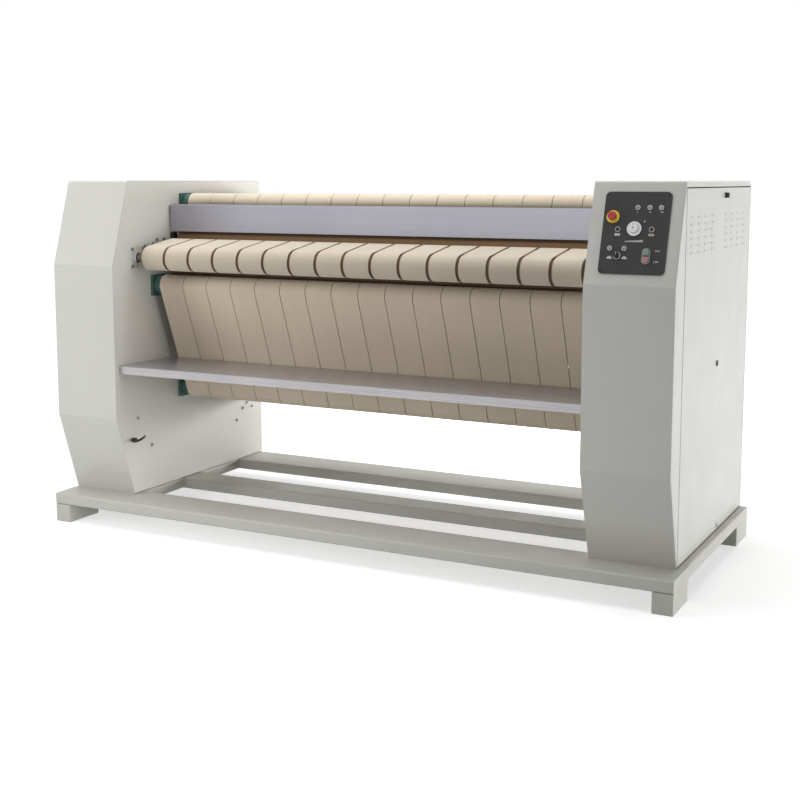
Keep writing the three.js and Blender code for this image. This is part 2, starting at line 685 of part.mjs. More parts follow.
/** The belt tension lever behind the left frame plate; its pin stands out through the arc slot. */
function addLever() {
  const { y, z, reach, sweep, halfWidth, thickness } = LEVER;
  const { radius, cap, capFrom, capTo } = LEVER_PIN;
  const inner = SIDES[0].inner;
  const face = inner - PLATE.thickness - GAP;
  const back = face - thickness;
  const arm = box(back, face, -reach, 0, -halfWidth, halfWidth);
  const ends = [bar(halfWidth, back, face, 0, 0, 8), bar(halfWidth, back, face, -reach, 0, 8)];
  const stud = bar(radius, face - 1, inner + capFrom + 1, -reach, 0, 8);
  const knob = bar(cap, inner + capFrom, inner + capTo, -reach, 0, 10);
  const mesh = add("belt_tension_lever", join(arm, ...ends, stud, knob), "blackPlastic", [0, y, z]);
  mesh.rotation.x = THREE.MathUtils.degToRad(90 - sweep / 2);
}

// ---------------------------------------------------------------- drive

const pitchRadius = (teeth) => DRIVE.pitch / (2 * Math.sin(Math.PI / teeth));

/** A sprocket about X: each tooth is a trapezium that stands between two chain rollers. */
function sprocket(teeth, holes = []) {
  const pitch = pitchRadius(teeth);
  const step = (2 * Math.PI) / teeth;
  const tooth = [[-0.36, -TOOTH_ROOT], [-0.13, TOOTH_HEIGHT], [0.13, TOOTH_HEIGHT], [0.36, -TOOTH_ROOT]];
  const points = Array.from({ length: teeth }, (_, k) =>
    tooth.map(([share, height]) => {
      const angle = step * (k + share);
      return V2((pitch + height) * Math.cos(angle), (pitch + height) * Math.sin(angle));
    }),
  ).flat();
  const half = DRIVE.tooth / 2;
  return prism(points, -half, half, holes);
}

/** A roller chain as two rows of waisted link plates, joined by rollers along both strands. */
function chain() {
  const pulleys = [
    { ...MOTOR_SHAFT, radius: pitchRadius(MOTOR_TEETH), turn: 1 },
    { y: CYLINDER.y, z: CYLINDER.z, radius: pitchRadius(CYLINDER_TEETH), turn: 1 },
  ];
  const { plate, inside, half, waist, roller } = CHAIN;
  const path = new THREE.CurvePath();
  const way = loop(pulleys, 0, CHAIN.sagitta);
  way.forEach((point, i) => path.add(new THREE.LineCurve(point, way[(i + 1) % way.length])));
  const halfLinks = 2 * Math.round(path.getLength() / DRIVE.pitch);
  const spots = Array.from({ length: halfLinks }, (_, k) => path.getPoint(k / halfLinks));
  const edge = (side) =>
    spots.map((spot, k) => {
      const ahead = spots[(k + 1) % halfLinks].clone().sub(spots.at(k - 1)).normalize();
      const reach = side * (k % 2 ? waist : half);
      return V2(spot.x + reach * ahead.y, spot.y - reach * ahead.x);
    });
  const [outer, inner] = [edge(1), edge(-1)];
  const rows = [-1, 1].map((side) => {
    const near = DRIVE.planeX + (side * inside) / 2;
    return prism(outer, near, near + side * plate, [inner]);
  });
  const reachOfTeeth = TOOTH_HEIGHT + roller + 1;
  const onStrand = (spot) =>
    pulleys.every(({ y, z, radius }) => spot.distanceTo(V2(y, z)) > radius + reachOfTeeth);
  const rollers = spots
    .filter((spot, k) => k % 2 === 0 && onStrand(spot))
    .map((spot) => {
      const reach = inside / 2 + 1;
      return bar(roller, DRIVE.planeX - reach, DRIVE.planeX + reach, spot.x, spot.y, 4);
    });
  return join(...rows, ...rollers);
}

/** The gear motor on four spacers, clear of the chain, with its output sleeve bored for the shaft. */
function gearMotor() {
  const { y, z } = MOTOR_SHAFT;
  const { foot, footPlate, spacer, inset: margin, flangeX, flange, endX } = MOTOR;
  const near = SIDES[1].inner + PLATE.thickness + GAP;
  const square = (xa, xb, half) => box(xa, xb, y - half, y + half, z - half, z + half);
  const pieces = [
    square(near, near + footPlate, foot / 2),
    square(flangeX, flangeX + flange, foot / 2),
    square(flangeX + 1, endX, MOTOR_BODY.half),
  ];
  const reach = foot / 2 - margin;
  for (const [a, b] of [[-1, -1], [1, -1], [1, 1], [-1, 1]]) {
    pieces.push(bar(spacer, near + 1, flangeX + 1, y + a * reach, z + b * reach, 8));
  }
  const { half, barrel, length } = MOTOR_BODY;
  const body = turned([[0, -1], [barrel, -1], [barrel, length], [0, length]], 16);
  pieces.push(body.rotateX(-Math.PI / 2).translate((flangeX + flange + endX) / 2, y + half, z));
  const sleeve = prism(hole(y, z, MOTOR_SLEEVE.bore), flangeX - PAST, flangeX + MOTOR_SLEEVE.depth);
  return cut(join(...pieces), sleeve);
}

function addDrive() {
  const { y, z } = MOTOR_SHAFT;
  const { planeX } = DRIVE;
  add("gear_motor", gearMotor(), "motorGrey");
  const { shaft, shaftFrom, shaftTo } = MOTOR_SLEEVE;
  const shafted = join(sprocket(MOTOR_TEETH), bar(shaft, shaftFrom, shaftTo, 0, 0, 8));
  add("motor_sprocket", shafted, "steel", [planeX, y, z]);
  const bore = hole(0, 0, CYLINDER.journal + GAP, 12);
  add("cylinder_sprocket", sprocket(CYLINDER_TEETH, [bore]), "steel", [planeX, CYLINDER.y, CYLINDER.z]);
  add("drive_chain", chain(), "steel");
  const x = SIDES[1].inner + PLATE.thickness + GAP;
  const { width, front, rear, bottom, top } = ELECTRICAL_BOX;
  add("electrical_box", box(x, x + width, front, rear, bottom, top), "motorGrey");
}

// ---------------------------------------------------------------- control console

/** The console's own frame: x as the ironer's, y up the slanted facet, z out of it. */
const consoleFace = new THREE.Group();
consoleFace.position.set(0, CABINET.front, CABINET.upperBend);
consoleFace.rotation.x = Math.atan2(CABINET.top - CABINET.upperBend, CABINET.lip - CABINET.front);

/** The opening in the right cover behind the fascia, as a tool in the ironer's frame. */
function consoleWindow() {
  const { left, right, bottom, top, margin } = FASCIA;
  const tool = box(left + margin, right - margin, bottom + margin, top - margin, BEHIND, PAST);
  consoleFace.updateMatrixWorld(true);
  return tool.applyMatrix4(consoleFace.matrixWorld);
}

/** Puts a control on the console, about its own x and y. */
function place(name, shape, finish, { x, y }) {
  return add(name, shape, finish, [x, y, 0], consoleFace);
}

/** A rounded rectangle about a centre. */
function roundedRectangle(x, y, width, height, radius, steps = 3) {
  const corners = [[-1, -1], [1, -1], [1, 1], [-1, 1]];
  const points = corners.map(([a, b]) => [x + (a * width) / 2, y + (b * height) / 2, radius]);
  return outline(points, steps);
}

/** The console plate, with a hole for each control and a guard ring round each small button. */
function fascia() {
  const { left, right, bottom, top, corner } = FASCIA;
  const middle = [(left + right) / 2, (bottom + top) / 2];
  const plate = roundedRectangle(...middle, right - left, top - bottom, corner);
  const holes = [
    hole(ESTOP.x, ESTOP.y, ESTOP.shank + FIT),
    hole(DIAL.x, DIAL.y, DIAL.shank + FIT, 6),
    hole(SELECTOR.x, SELECTOR.y, SELECTOR.shank + FIT),
    ...LAMPS.map(({ x, y }) => hole(x, y, LAMP.shank + FIT, 6)),
    ...SMALL_BUTTONS.map(({ x, y }) => hole(x, y, SMALL_BUTTON.cap + FIT)),
    ...[-1, 1].map((way) => hole(TWIN.x, TWIN.y + way * TWIN_STEM.y, TWIN_STEM.radius + FIT, 6)),
  ];
  const rings = SMALL_BUTTONS.map(({ x, y }) => {
    const rim = circle(x, y, SMALL_BUTTON.ring, 8);
    return slab(rim, FACE - 0.5, FACE + 2.5, [hole(x, y, SMALL_BUTTON.cap + FIT)]);
  });
  return join(slab(plate, GAP, FACE, holes), ...rings);
}

/** The emergency stop: a fixed collar and a mushroom head that is pushed in. */
function addEmergencyStop() {
  const { collar, collarHeight, head, shank, travel } = ESTOP;
  const collarTop = SEAT + collarHeight;
  const rim = [
    [shank + 1, SEAT],
    [collar, SEAT],
    [collar, collarTop - 2],
    [collar - 3, collarTop],
    [shank + 1, collarTop],
  ];
  place("estop_collar", ring(rim, 14), "yellow", ESTOP);
  const under = collarTop + travel + 1.5;
  const mushroom = [
    [0, BEHIND],
    [shank, BEHIND],
    [shank, under],
    [head, under],
    [head, under + 7],
    [head - 5, under + 12],
    [0, under + 13],
  ];
  place("estop_button", turned(mushroom, 12), "red", ESTOP);
}

function addDial() {
  const { radius, knob, shank } = DIAL;
  const under = SEAT + 0.5;
  const profile = [
    [0, BEHIND],
    [shank, BEHIND],
    [shank, under],
    [radius, under],
    [radius, under + 3.5],
    [knob, under + 4.5],
    [knob - 2, under + 17.5],
    [0, under + 17.5],
  ];
  place("temperature_dial", turned(profile, 16), "silver", DIAL);
}

function addSmallButtons() {
  const { cap, shank, travel } = SMALL_BUTTON;
  const top = SEAT + travel + 3;
  const collar = BEHIND / 6;
  const profile = [
    [0, BEHIND],
    [shank, BEHIND],
    [shank, collar],
    [cap, collar],
    [cap, top - 1],
    [cap - 1, top],
    [0, top],
  ];
  for (const button of SMALL_BUTTONS) place(button.name, turned(profile, 8), "blackPlastic", button);
}

function addLamps() {
  const { radius, lens, shank } = LAMP;
  const profile = [
    [0, BEHIND],
    [shank, BEHIND],
    [shank, SEAT],
    [radius, SEAT],
    [radius, SEAT + 3],
    [lens, SEAT + 4],
    [lens - 3, SEAT + 7],
    [0, SEAT + 8],
  ];
  for (const lamp of LAMPS) place(lamp.name, turned(profile, 8), "lens", lamp);
}

function addSelector() {
  const { radius, bore, shank, handle, halfHandle } = SELECTOR;
  const rim = [
    [bore, SEAT],
    [radius, SEAT],
    [radius - 1, SEAT + 4],
    [bore, SEAT + 4],
  ];
  place("selector_bezel", ring(rim, 12), "chrome", SELECTOR);
  const stalkTop = SEAT + 7;
  const stalk = turned([[0, BEHIND], [shank, BEHIND], [shank, stalkTop], [0, stalkTop]], 8);
  const wing = roundedRectangle(0, 0, 2 * halfHandle, handle, halfHandle - 1, 2);
  place("selector_knob", join(stalk, slab(wing, SEAT + 5, SEAT + 17)), "blackPlastic", SELECTOR);
}

/** The outline of one cap of the twin push button, square at the split and round at its end. */
function capOutline(way, grow = 0) {
  const half = TWIN.cap / 2 + grow;
  const near = way * (TWIN.split - grow);
  const far = way * (TWIN.height / 2 - 4 + grow);
  const corners = [[-half, near], [half, near], [half, far, half - 0.5], [-half, far, half - 0.5]];
  return outline(way > 0 ? corners : corners.reverse(), 3);
}

/** The start and stop buttons in their shared oval bezel. */
function addTwinButton() {
  const { width, height, bezel, travel } = TWIN;
  const oval = roundedRectangle(0, 0, width, height, width / 2 - 0.5, 4);
  const frame = slab(oval, SEAT, SEAT + bezel, [capOutline(1, FIT), capOutline(-1, FIT)]);
  place("twin_button_bezel", frame, "chrome", TWIN);
  const under = SEAT + travel + 1;
  for (const [name, way, finish] of [["start_button", 1, "green"], ["stop_button", -1, "red"]]) {
    const cap = slab(capOutline(way), under, under + 6);
    const rod = slab(circle(0, way * TWIN_STEM.y, TWIN_STEM.radius, 6), BEHIND, under + 1);
    place(name, join(cap, rod), finish, TWIN);
  }
}

function addConsole() {
  ironer.add(consoleFace);
  place("control_fascia", fascia(), "fascia", { x: 0, y: 0 });
  addEmergencyStop();
  addDial();
  addSmallButtons();
  addLamps();
  addSelector();
  addTwinButton();
}

addBase();
addCabinets();
addRolls();
addHeater();
addBelts();
addGuard();
addSwitch();
addTray();
addLever();
addDrive();
addConsole();

export default ironer;
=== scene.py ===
"""Looks of a free-standing flatwork ironer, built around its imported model.

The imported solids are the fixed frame. Each class below dresses one sub-assembly: it builds the rounded
sheet metal, rolls, belts and controls at the places that the frame gives, and finishes them. Lengths are
in metres. X runs along the rolls, the operator stands on the -Y side, and Z = 0 is the floor.
"""

import json
import logging
import math
from dataclasses import dataclass
from enum import Enum
from typing import Callable, Iterable, Sequence

import bmesh
import bpy
from bmesh.types import BMEdge, BMesh, BMFace, BMVert
from bpy.types import Material, Node, NodeSocket, NodeTree
from mathutils import Matrix, Vector

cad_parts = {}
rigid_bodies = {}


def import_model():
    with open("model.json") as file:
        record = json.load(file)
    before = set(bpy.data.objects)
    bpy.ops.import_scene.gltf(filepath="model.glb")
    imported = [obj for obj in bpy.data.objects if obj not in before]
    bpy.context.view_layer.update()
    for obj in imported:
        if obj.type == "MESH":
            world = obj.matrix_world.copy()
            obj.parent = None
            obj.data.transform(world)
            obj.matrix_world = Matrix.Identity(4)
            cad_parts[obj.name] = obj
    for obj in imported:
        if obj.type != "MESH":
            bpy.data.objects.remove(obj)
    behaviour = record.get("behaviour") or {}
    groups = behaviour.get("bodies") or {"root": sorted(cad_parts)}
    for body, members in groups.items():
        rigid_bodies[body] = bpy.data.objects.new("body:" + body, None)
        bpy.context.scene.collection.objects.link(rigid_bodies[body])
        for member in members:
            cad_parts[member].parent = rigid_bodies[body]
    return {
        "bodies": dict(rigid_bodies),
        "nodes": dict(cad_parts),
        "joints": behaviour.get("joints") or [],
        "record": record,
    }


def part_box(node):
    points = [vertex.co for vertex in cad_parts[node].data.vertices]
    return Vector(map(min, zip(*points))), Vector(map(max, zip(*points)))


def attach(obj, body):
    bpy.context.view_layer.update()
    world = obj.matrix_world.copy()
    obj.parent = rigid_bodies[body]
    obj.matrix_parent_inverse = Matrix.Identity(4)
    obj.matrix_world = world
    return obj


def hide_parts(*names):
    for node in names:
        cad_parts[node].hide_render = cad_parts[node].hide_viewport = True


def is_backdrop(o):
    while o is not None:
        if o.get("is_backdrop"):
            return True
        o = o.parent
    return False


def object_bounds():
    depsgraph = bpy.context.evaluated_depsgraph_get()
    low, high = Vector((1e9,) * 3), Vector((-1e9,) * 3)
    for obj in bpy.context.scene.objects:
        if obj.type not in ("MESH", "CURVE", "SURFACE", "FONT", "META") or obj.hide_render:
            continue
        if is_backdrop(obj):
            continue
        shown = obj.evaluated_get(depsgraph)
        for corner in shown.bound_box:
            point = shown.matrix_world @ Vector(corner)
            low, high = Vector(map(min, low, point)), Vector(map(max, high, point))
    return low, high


LOG = logging.getLogger("flatwork_ironer")
MERGE = 1e-5  # loose corners closer than this are one
TURN = 2 * math.pi

Colour = tuple[float, float, float]
Profile = Sequence[tuple[float, float]]


class Side(Enum):
    """The two cabinets, with the way that each one's outer side faces along X."""

    LEFT = ("left", -1)
    RIGHT = ("right", 1)

    @property
    def label(self) -> str:
        """The word that the cabinet's node names start with."""
        return self.value[0]

    @property
    def way(self) -> int:
        """1 where the outer side faces +X and -1 where it faces -X."""
        return self.value[1]


class Effect(Enum):
    """Shader groups that several finishes share."""

    CLOUDING = "clouding"
    PEEL = "orange_peel"
    GRAIN = "brushed_grain"
    FIBRE = "felt_fibre"


def srgb(red: int, green: int, blue: int) -> Colour:
    """A colour given in display levels from 0 to 255, as linear light.

    Args:
        red: Red level.
        green: Green level.
        blue: Blue level.

    Returns:
        The linear colour.
    """

    def linear(level: int) -> float:
        """One display level as linear light."""
        share = level / 255
        return share / 12.92 if share <= 0.04045 else ((share + 0.055) / 1.055) ** 2.4

    return (linear(red), linear(green), linear(blue))


# ---------------------------------------------------------------- the frame


class Ironer:
    """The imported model: where its nodes are, and which body and slot each one belongs to."""

    def __init__(self) -> None:
        """Loads the frame and keeps its whole box."""
        self.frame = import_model()
        self.box_at_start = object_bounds()
        record = self.frame["record"]
        self._slots = {row["node"]: row["material_slot"] for row in record["subparts"]}
        bodies = record["behaviour"]["bodies"]
        self._bodies = {node: body for body, nodes in bodies.items() for node in nodes}

    def body(self, node: str) -> str:
        """The name of the body that carries a node."""
        return self._bodies[node]

    def slot(self, node: str) -> str:
        """The record's material slot of a node."""
        return self._slots[node]

    def paint(self, node: str, material: Material) -> None:
        """Gives a node that stays in view its material.

        Args:
            node: The node's name.
            material: Its finish.
        """
        data = self.frame["nodes"][node].data
        data.materials.clear()
        data.materials.append(material)

    def write_sizes(self) -> None:
        """Brings the view layer up to date."""
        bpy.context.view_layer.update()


BELT_ROLLERS = tuple(
    f"{spot}_roller" for spot in ("top_front", "lower_front", "bottom_front", "bottom_rear", "top_rear")
)  # in the order of the ironing belts' way round, where the heated cylinder follows the first
FEED_ROLLERS = ("feed_front_roller", "feed_rear_roller")


def axis_of(node: str) -> tuple[float, float]:
    """The Y and Z of a roll's axis."""
    low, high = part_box(node)
    return (low.y + high.y) / 2, (low.z + high.z) / 2


# ---------------------------------------------------------------- mesh work


def block(low: Sequence[float], high: Sequence[float]) -> BMesh:
    """A box between two corners.

    Args:
        low: One corner.
        high: The opposite corner.

    Returns:
        The box as a mesh.
    """
    near, far = Vector(low), Vector(high)
    size = Vector(abs(b - a) for a, b in zip(near, far))
    bm = bmesh.new()
    bmesh.ops.create_cube(bm, size=1)
    bmesh.ops.scale(bm, vec=size, verts=bm.verts)
    bmesh.ops.translate(bm, vec=(near + far) / 2, verts=bm.verts)
    return bm


def bevel(
    bm: BMesh, geom: Sequence[BMEdge | BMVert], radius: float, segments: int, clamp: bool = False
) -> BMesh:
    """Rounds edges or corners.

    Args:
        bm: The mesh to change.
        geom: Its edges, or its corners, to round.
        radius: How far the round reaches from each of them.
        segments: Steps of each round.
        clamp: True to keep rounds from growing past each other.

    Returns:
        The same mesh.
    """
    affect = "VERTICES" if geom and isinstance(geom[0], BMVert) else "EDGES"
    bmesh.ops.bevel(
        bm, geom=geom, offset=radius, offset_type="OFFSET", segments=segments, profile=0.5, affect=affect,
        clamp_overlap=clamp, material=-1,
    )
    return bm


def round_edges(bm: BMesh, radius: float, where: Callable[[BMEdge], bool], segments: int = 3) -> BMesh:
    """Rounds the edges that a test picks, up to a radius from each of them."""
    bm.normal_update()
    return bevel(bm, [edge for edge in bm.edges if where(edge)], radius, segments, clamp=True)


def runs(axis: int) -> Callable[[BMEdge], bool]:
    """A test for edges that run along one axis, 0 for X, 1 for Y and 2 for Z."""
    return lambda edge: abs((edge.verts[1].co - edge.verts[0].co)[axis]) > 0.999 * edge.calc_length()


def lies(axis: int, place: float) -> Callable[[Vector], bool]:
    """A test for points in a plane across one axis."""
    return lambda spot: abs(spot[axis] - place) < MERGE


def borders(axis: int, place: float) -> Callable[[BMEdge], bool]:
    """A test for edges that lie in a plane across one axis."""
    return lambda edge: all(lies(axis, place)(vert.co) for vert in edge.verts)


def crease(degrees: float = 30) -> Callable[[BMEdge], bool]:
    """A test for edges between two faces that meet at more than an angle."""
    limit = math.radians(degrees)
    return lambda edge: len(edge.link_faces) == 2 and edge.calc_face_angle(0) > limit


def middle(item: BMEdge | BMFace) -> Vector:
    """The mean of an edge's or a face's corners."""
    return sum((vert.co for vert in item.verts), Vector()) / len(item.verts)


def new_verts(made: dict) -> list[BMVert]:
    """The corners among what an operator made."""
    return [item for item in made["geom"] if isinstance(item, BMVert)]


def raise_face(bm: BMesh, way: Sequence[float]) -> BMesh:
    """Makes a closed slab out of a mesh that is one flat face.

    Args:
        bm: The mesh to change.
        way: Where the face is pulled to.

    Returns:
        The same mesh.
    """
    made = bmesh.ops.extrude_face_region(bm, geom=list(bm.faces), use_keep_orig=True)
    bmesh.ops.translate(bm, vec=way, verts=new_verts(made))
    bmesh.ops.recalc_face_normals(bm, faces=bm.faces)
    return bm


def slab(points: Profile, height: float, corner: float = 0, steps: int = 6) -> BMesh:
    """A flat outline in the X-Y plane, raised along Z.

    Args:
        points: The outline's corners.
        height: How far it is raised.
        corner: Radius of its corners, or 0.
        steps: Steps of each round corner.

    Returns:
        The closed slab as a mesh.
    """
    bm = flat(points)
    if corner:
        round_corners(bm, corner, steps=steps)
    return raise_face(bm, (0, 0, height))


def flat(points: Profile) -> BMesh:
    """A flat face in the X-Y plane from its corners."""
    bm = bmesh.new()
    bm.faces.new([bm.verts.new((x, y, 0)) for x, y in points])
    return bm


def round_corners(
    bm: BMesh, radius: float, where: Callable[[Vector], bool] = lambda spot: True, steps: int = 6
) -> BMesh:
    """Rounds the corners of a flat face that a test picks, up to a radius from each of them."""
    return bevel(bm, [vert for vert in bm.verts if where(vert.co)], radius, steps)


def pierce(bm: BMesh, *cuts: BMesh) -> BMesh:
    """Cuts openings into the mesh's one face that lies where the cuts lie.

    Args:
        bm: The mesh to change.
        *cuts: Flat shapes in the plane of that face. They are used up.

    Returns:
        The same mesh.
    """
    spot = cuts[0].verts[:][0].co.copy()
    bm.normal_update()
    face = max(
        (face for face in bm.faces if abs((spot - face.verts[0].co).dot(face.normal)) < MERGE),
        key=lambda face: face.calc_area(),
    )
    rim = list(face.edges)
    bmesh.ops.delete(bm, geom=[face], context="FACES_ONLY")
    kept = set(bm.edges)
    for cut in cuts:
        bmesh.ops.delete(cut, geom=cut.faces[:], context="FACES_ONLY")
        add_mesh(bm, cut)
        cut.free()
    fresh = [edge for edge in bm.edges if edge not in kept]
    bmesh.ops.triangle_fill(bm, edges=rim + fresh, use_beauty=True)
    return bm


def ring_face(radius: float, sides: int = 24, matrix: Matrix = Matrix()) -> BMesh:
    """A flat round face."""
    bm = bmesh.new()
    bmesh.ops.create_circle(bm, cap_ends=True, segments=sides, radius=radius, matrix=matrix)
    return bm


def rectangle(width: float, height: float) -> list[tuple[float, float]]:
    """The four corners of a rectangle about the origin."""
    a, b = width / 2, height / 2
    return [(-a, -b), (a, -b), (a, b), (-a, b)]


def tile(width: float, height: float, thickness: float, corner: float = 0) -> BMesh:
    """A rounded plate about the origin, standing on Z = 0: its sizes along X, Y and Z."""
    return slab(rectangle(width, height), thickness, corner)


def disc(radius: float, height: float, sides: int = 24) -> BMesh:
    """A round or many-sided plate about the origin, standing on Z = 0."""
    return raise_face(ring_face(radius, sides), (0, 0, height))


def turned(profile: Profile, steps: int = 40) -> BMesh:
    """A body of revolution about Z.

    Args:
        profile: Pairs of radius and height, from one end to the other.
        steps: Steps of the full turn.

    Returns:
        The closed surface as a mesh.
    """
    bm = bmesh.new()
    verts = [bm.verts.new((radius, 0, height)) for radius, height in profile]
    edges = [bm.edges.new(pair) for pair in zip(verts, verts[1:])]
    bmesh.ops.spin(
        bm, geom=verts + edges, cent=(0, 0, 0), axis=(0, 0, 1), angle=TURN, steps=steps, use_merge=True
    )
    bmesh.ops.remove_doubles(bm, verts=bm.verts, dist=MERGE / 10)
    bmesh.ops.recalc_face_normals(bm, faces=bm.faces)
    return bm


def both_ends(line: Profile) -> Profile:
    """A profile from end to end out of its upper half, from the axis to the outside."""
    return [(radius, -height) for radius, height in line] + list(reversed(line))


def pan(low: Vector, high: Vector, axis: int, front: float, radius: float = 0.003) -> BMesh:
    """The skin of a folded panel: a box without its back, with rounded edges round its front."""
    bm = drop(block(low, high), lies(axis, low[axis] + high[axis] - front))
    return round_edges(bm, radius, borders(axis, front))


def folded(line: Profile, ends: tuple[float, float], radius: float, facing: Sequence[float]) -> BMesh:
    """An open sheet along X, bent along a line in the Y-Z plane.

    Args:
        line: The bend line's corners as pairs of Y and Z.
        ends: The X of its two ends.
        radius: Radius of every bend.
        facing: A direction that most of its outside faces.

    Returns:
        The sheet's outer skin as a mesh.
    """
    bm = bmesh.new()
    verts = [bm.verts.new((ends[0], y, z)) for y, z in line]
    edges = [bm.edges.new(pair) for pair in zip(verts, verts[1:])]
    made = bmesh.ops.extrude_edge_only(bm, edges=edges)
    bmesh.ops.translate(bm, vec=(ends[1] - ends[0], 0, 0), verts=new_verts(made))
    face_out(bm, facing)
    return round_edges(bm, radius, lambda edge: len(edge.link_faces) == 2, 4)


def face_out(bm: BMesh, facing: Sequence[float]) -> BMesh:
    """Turns an open skin round where most of it faces the wrong way.

    Args:
        bm: The mesh to change.
        facing: A direction that most of it should face.

    Returns:
        The same mesh.
    """
    bmesh.ops.recalc_face_normals(bm, faces=bm.faces)
    bm.normal_update()
    if sum(face.normal.dot(Vector(facing)) * face.calc_area() for face in bm.faces) < 0:
        bmesh.ops.reverse_faces(bm, faces=bm.faces)
    return bm


def score(bm: BMesh, axis: int, *places: float) -> BMesh:
    """Cuts new edges into a mesh where it crosses planes.

    Args:
        bm: The mesh to change.
        axis: The planes' normal, 0 for X, 1 for Y and 2 for Z.
        *places: The planes' places along it.

    Returns:
        The same mesh.
    """
    normal = Vector((0, 0, 0))
    normal[axis] = 1
    for place in places:
        everything = bm.verts[:] + bm.edges[:] + bm.faces[:]
        bmesh.ops.bisect_plane(bm, geom=everything, dist=MERGE, plane_co=normal * place, plane_no=normal)
    return bm


def drop(bm: BMesh, where: Callable[[Vector], bool]) -> BMesh:
    """Takes out the faces whose middle a test picks.

    Args:
        bm: The mesh to change.
        where: True for a middle to take out.

    Returns:
        The same mesh.
    """
    gone = [face for face in bm.faces if where(face.calc_center_median())]
    bmesh.ops.delete(bm, geom=gone, context="FACES")
    return bm


def place(bm: BMesh, matrix: Matrix) -> BMesh:
    """Moves a whole mesh."""
    bmesh.ops.transform(bm, matrix=matrix, verts=bm.verts)
    return bm


def add_mesh(bm: BMesh, extra: BMesh, matrix: Matrix = Matrix()) -> None:
    """Puts a placed copy of one mesh into another.

    Args:
        bm: The mesh that grows.
        extra: The mesh to copy.
        matrix: Where the copy goes.
    """
    carrier = bpy.data.meshes.new("carrier")
    extra.to_mesh(carrier)
    carrier.transform(matrix)
    bm.from_mesh(carrier)
    bpy.data.meshes.remove(carrier)


def gather(*shapes: BMesh) -> BMesh:
    """Joins meshes.

    Args:
        *shapes: The meshes. They are used up.

    Returns:
        One mesh that holds them all.
    """
    bm = bmesh.new()
    for shape in shapes:
        add_mesh(bm, shape)
        shape.free()
    return bm


def copies(shape: BMesh, places: Iterable[Matrix]) -> BMesh:
    """One mesh that holds a copy of a shape at each place.

    Args:
        shape: The shape to repeat. It is used up.
        places: Where the copies go.

    Returns:
        The mesh of all copies.
    """
    bm = bmesh.new()
    for matrix in places:
        add_mesh(bm, shape, matrix)
    shape.free()
    return bm


def at(x: float, y: float, z: float) -> Matrix:
    """A shift."""
    return Matrix.Translation((x, y, z))


def about(axis: str, degrees: float) -> Matrix:
    """A turn about X, Y or Z."""
    return Matrix.Rotation(math.radians(degrees), 4, axis)


UPRIGHT = about("Z", 90) @ about("X", 90)  # brings +X to +Y, +Y to +Z and +Z to +X
TO_X = about("Y", 90)  # brings +Z to +X
TO_MINUS_X = about("Y", -90)  # brings +Z to -X

# ---------------------------------------------------------------- shader groups


class Bench:
    """Short calls to place and join the nodes of one tree."""

    def __init__(self, tree: NodeTree) -> None:
        """Takes the tree to work on."""
        self.tree = tree

    def node(self, kind: str, **settings: object) -> Node:
        """Adds a node and sets its properties.

        Args:
            kind: The node's type, without its ShaderNode prefix.
            **settings: Values of its properties.

        Returns:
            The node.
        """
        made = self.tree.nodes.new(f"ShaderNode{kind}")
        for label, value in settings.items():
            setattr(made, label, value)
        return made

    def join(self, source: NodeSocket, target: NodeSocket) -> None:
        """Links an output to an input."""
        self.tree.links.new(source, target)

    def feed(self, made: Node, **values: object) -> Node:
        """Sets or links a node's inputs by name, with _ for a space.

        Args:
            made: The node.
            **values: A value or an output socket for each input.

        Returns:
            The same node.
        """
        for label, value in values.items():
            self.plug(value, made.inputs[label.replace("_", " ")])
        return made

    def plug(self, value: object, target: NodeSocket) -> None:
        """Links an output to an input, or sets the input to a plain value.

        Args:
            value: The output socket or the plain value.
            target: The input.
        """
        if isinstance(value, NodeSocket):
            self.join(value, target)
        else:
            target.default_value = value

    def worked(self, kind: str, operation: str, *values: object) -> NodeSocket:
        """The result of an operation.

        Args:
            kind: The type of node that does it.
            operation: Its name.
            *values: What it works on, plain values or sockets.

        Returns:
            The result.
        """
        made = self.node(kind, operation=operation)
        for value, target in zip(values, made.inputs):
            self.plug(value, target)
        return made.outputs[0]

    def arithmetic(self, operation: str, first: object, second: object) -> NodeSocket:
        """The result of a Math node on two values or sockets."""
        return self.worked("Math", operation, first, second)

    def times(self, first: object, second: object) -> NodeSocket:
        """The product of two values or sockets."""
        return self.arithmetic("MULTIPLY", first, second)

    def stretch(self, vector: NodeSocket, factors: NodeSocket | Sequence[float]) -> NodeSocket:
        """A vector multiplied axis by axis."""
        return self.worked("VectorMath", "MULTIPLY", vector, factors)

    def noise(self, vector: NodeSocket, scale: object, detail: float = 3.0) -> NodeSocket:
        """A noise value from about 0 to 1."""
        made = self.feed(self.node("TexNoise"), Vector=vector, Scale=scale, Detail=detail)
        return made.outputs["Fac"]

    def spread(
        self, value: NodeSocket, low: object, high: object, start: float = 0.3, end: float = 0.7
    ) -> NodeSocket:
        """A value mapped from between start and end to between low and high."""
        made = self.feed(self.node("MapRange"), From_Min=start, From_Max=end, To_Min=low, To_Max=high)
        return self.feed(made, Value=value).outputs["Result"]


@dataclass
class GroupPlan:
    """One shader group: its inputs beside Vector with their values, its outputs and its inner nodes."""

    inputs: dict[str, float | tuple[float, float, float]]
    outputs: Sequence[str]
    wire: Callable[[Bench, dict[str, NodeSocket]], Sequence[NodeSocket]]


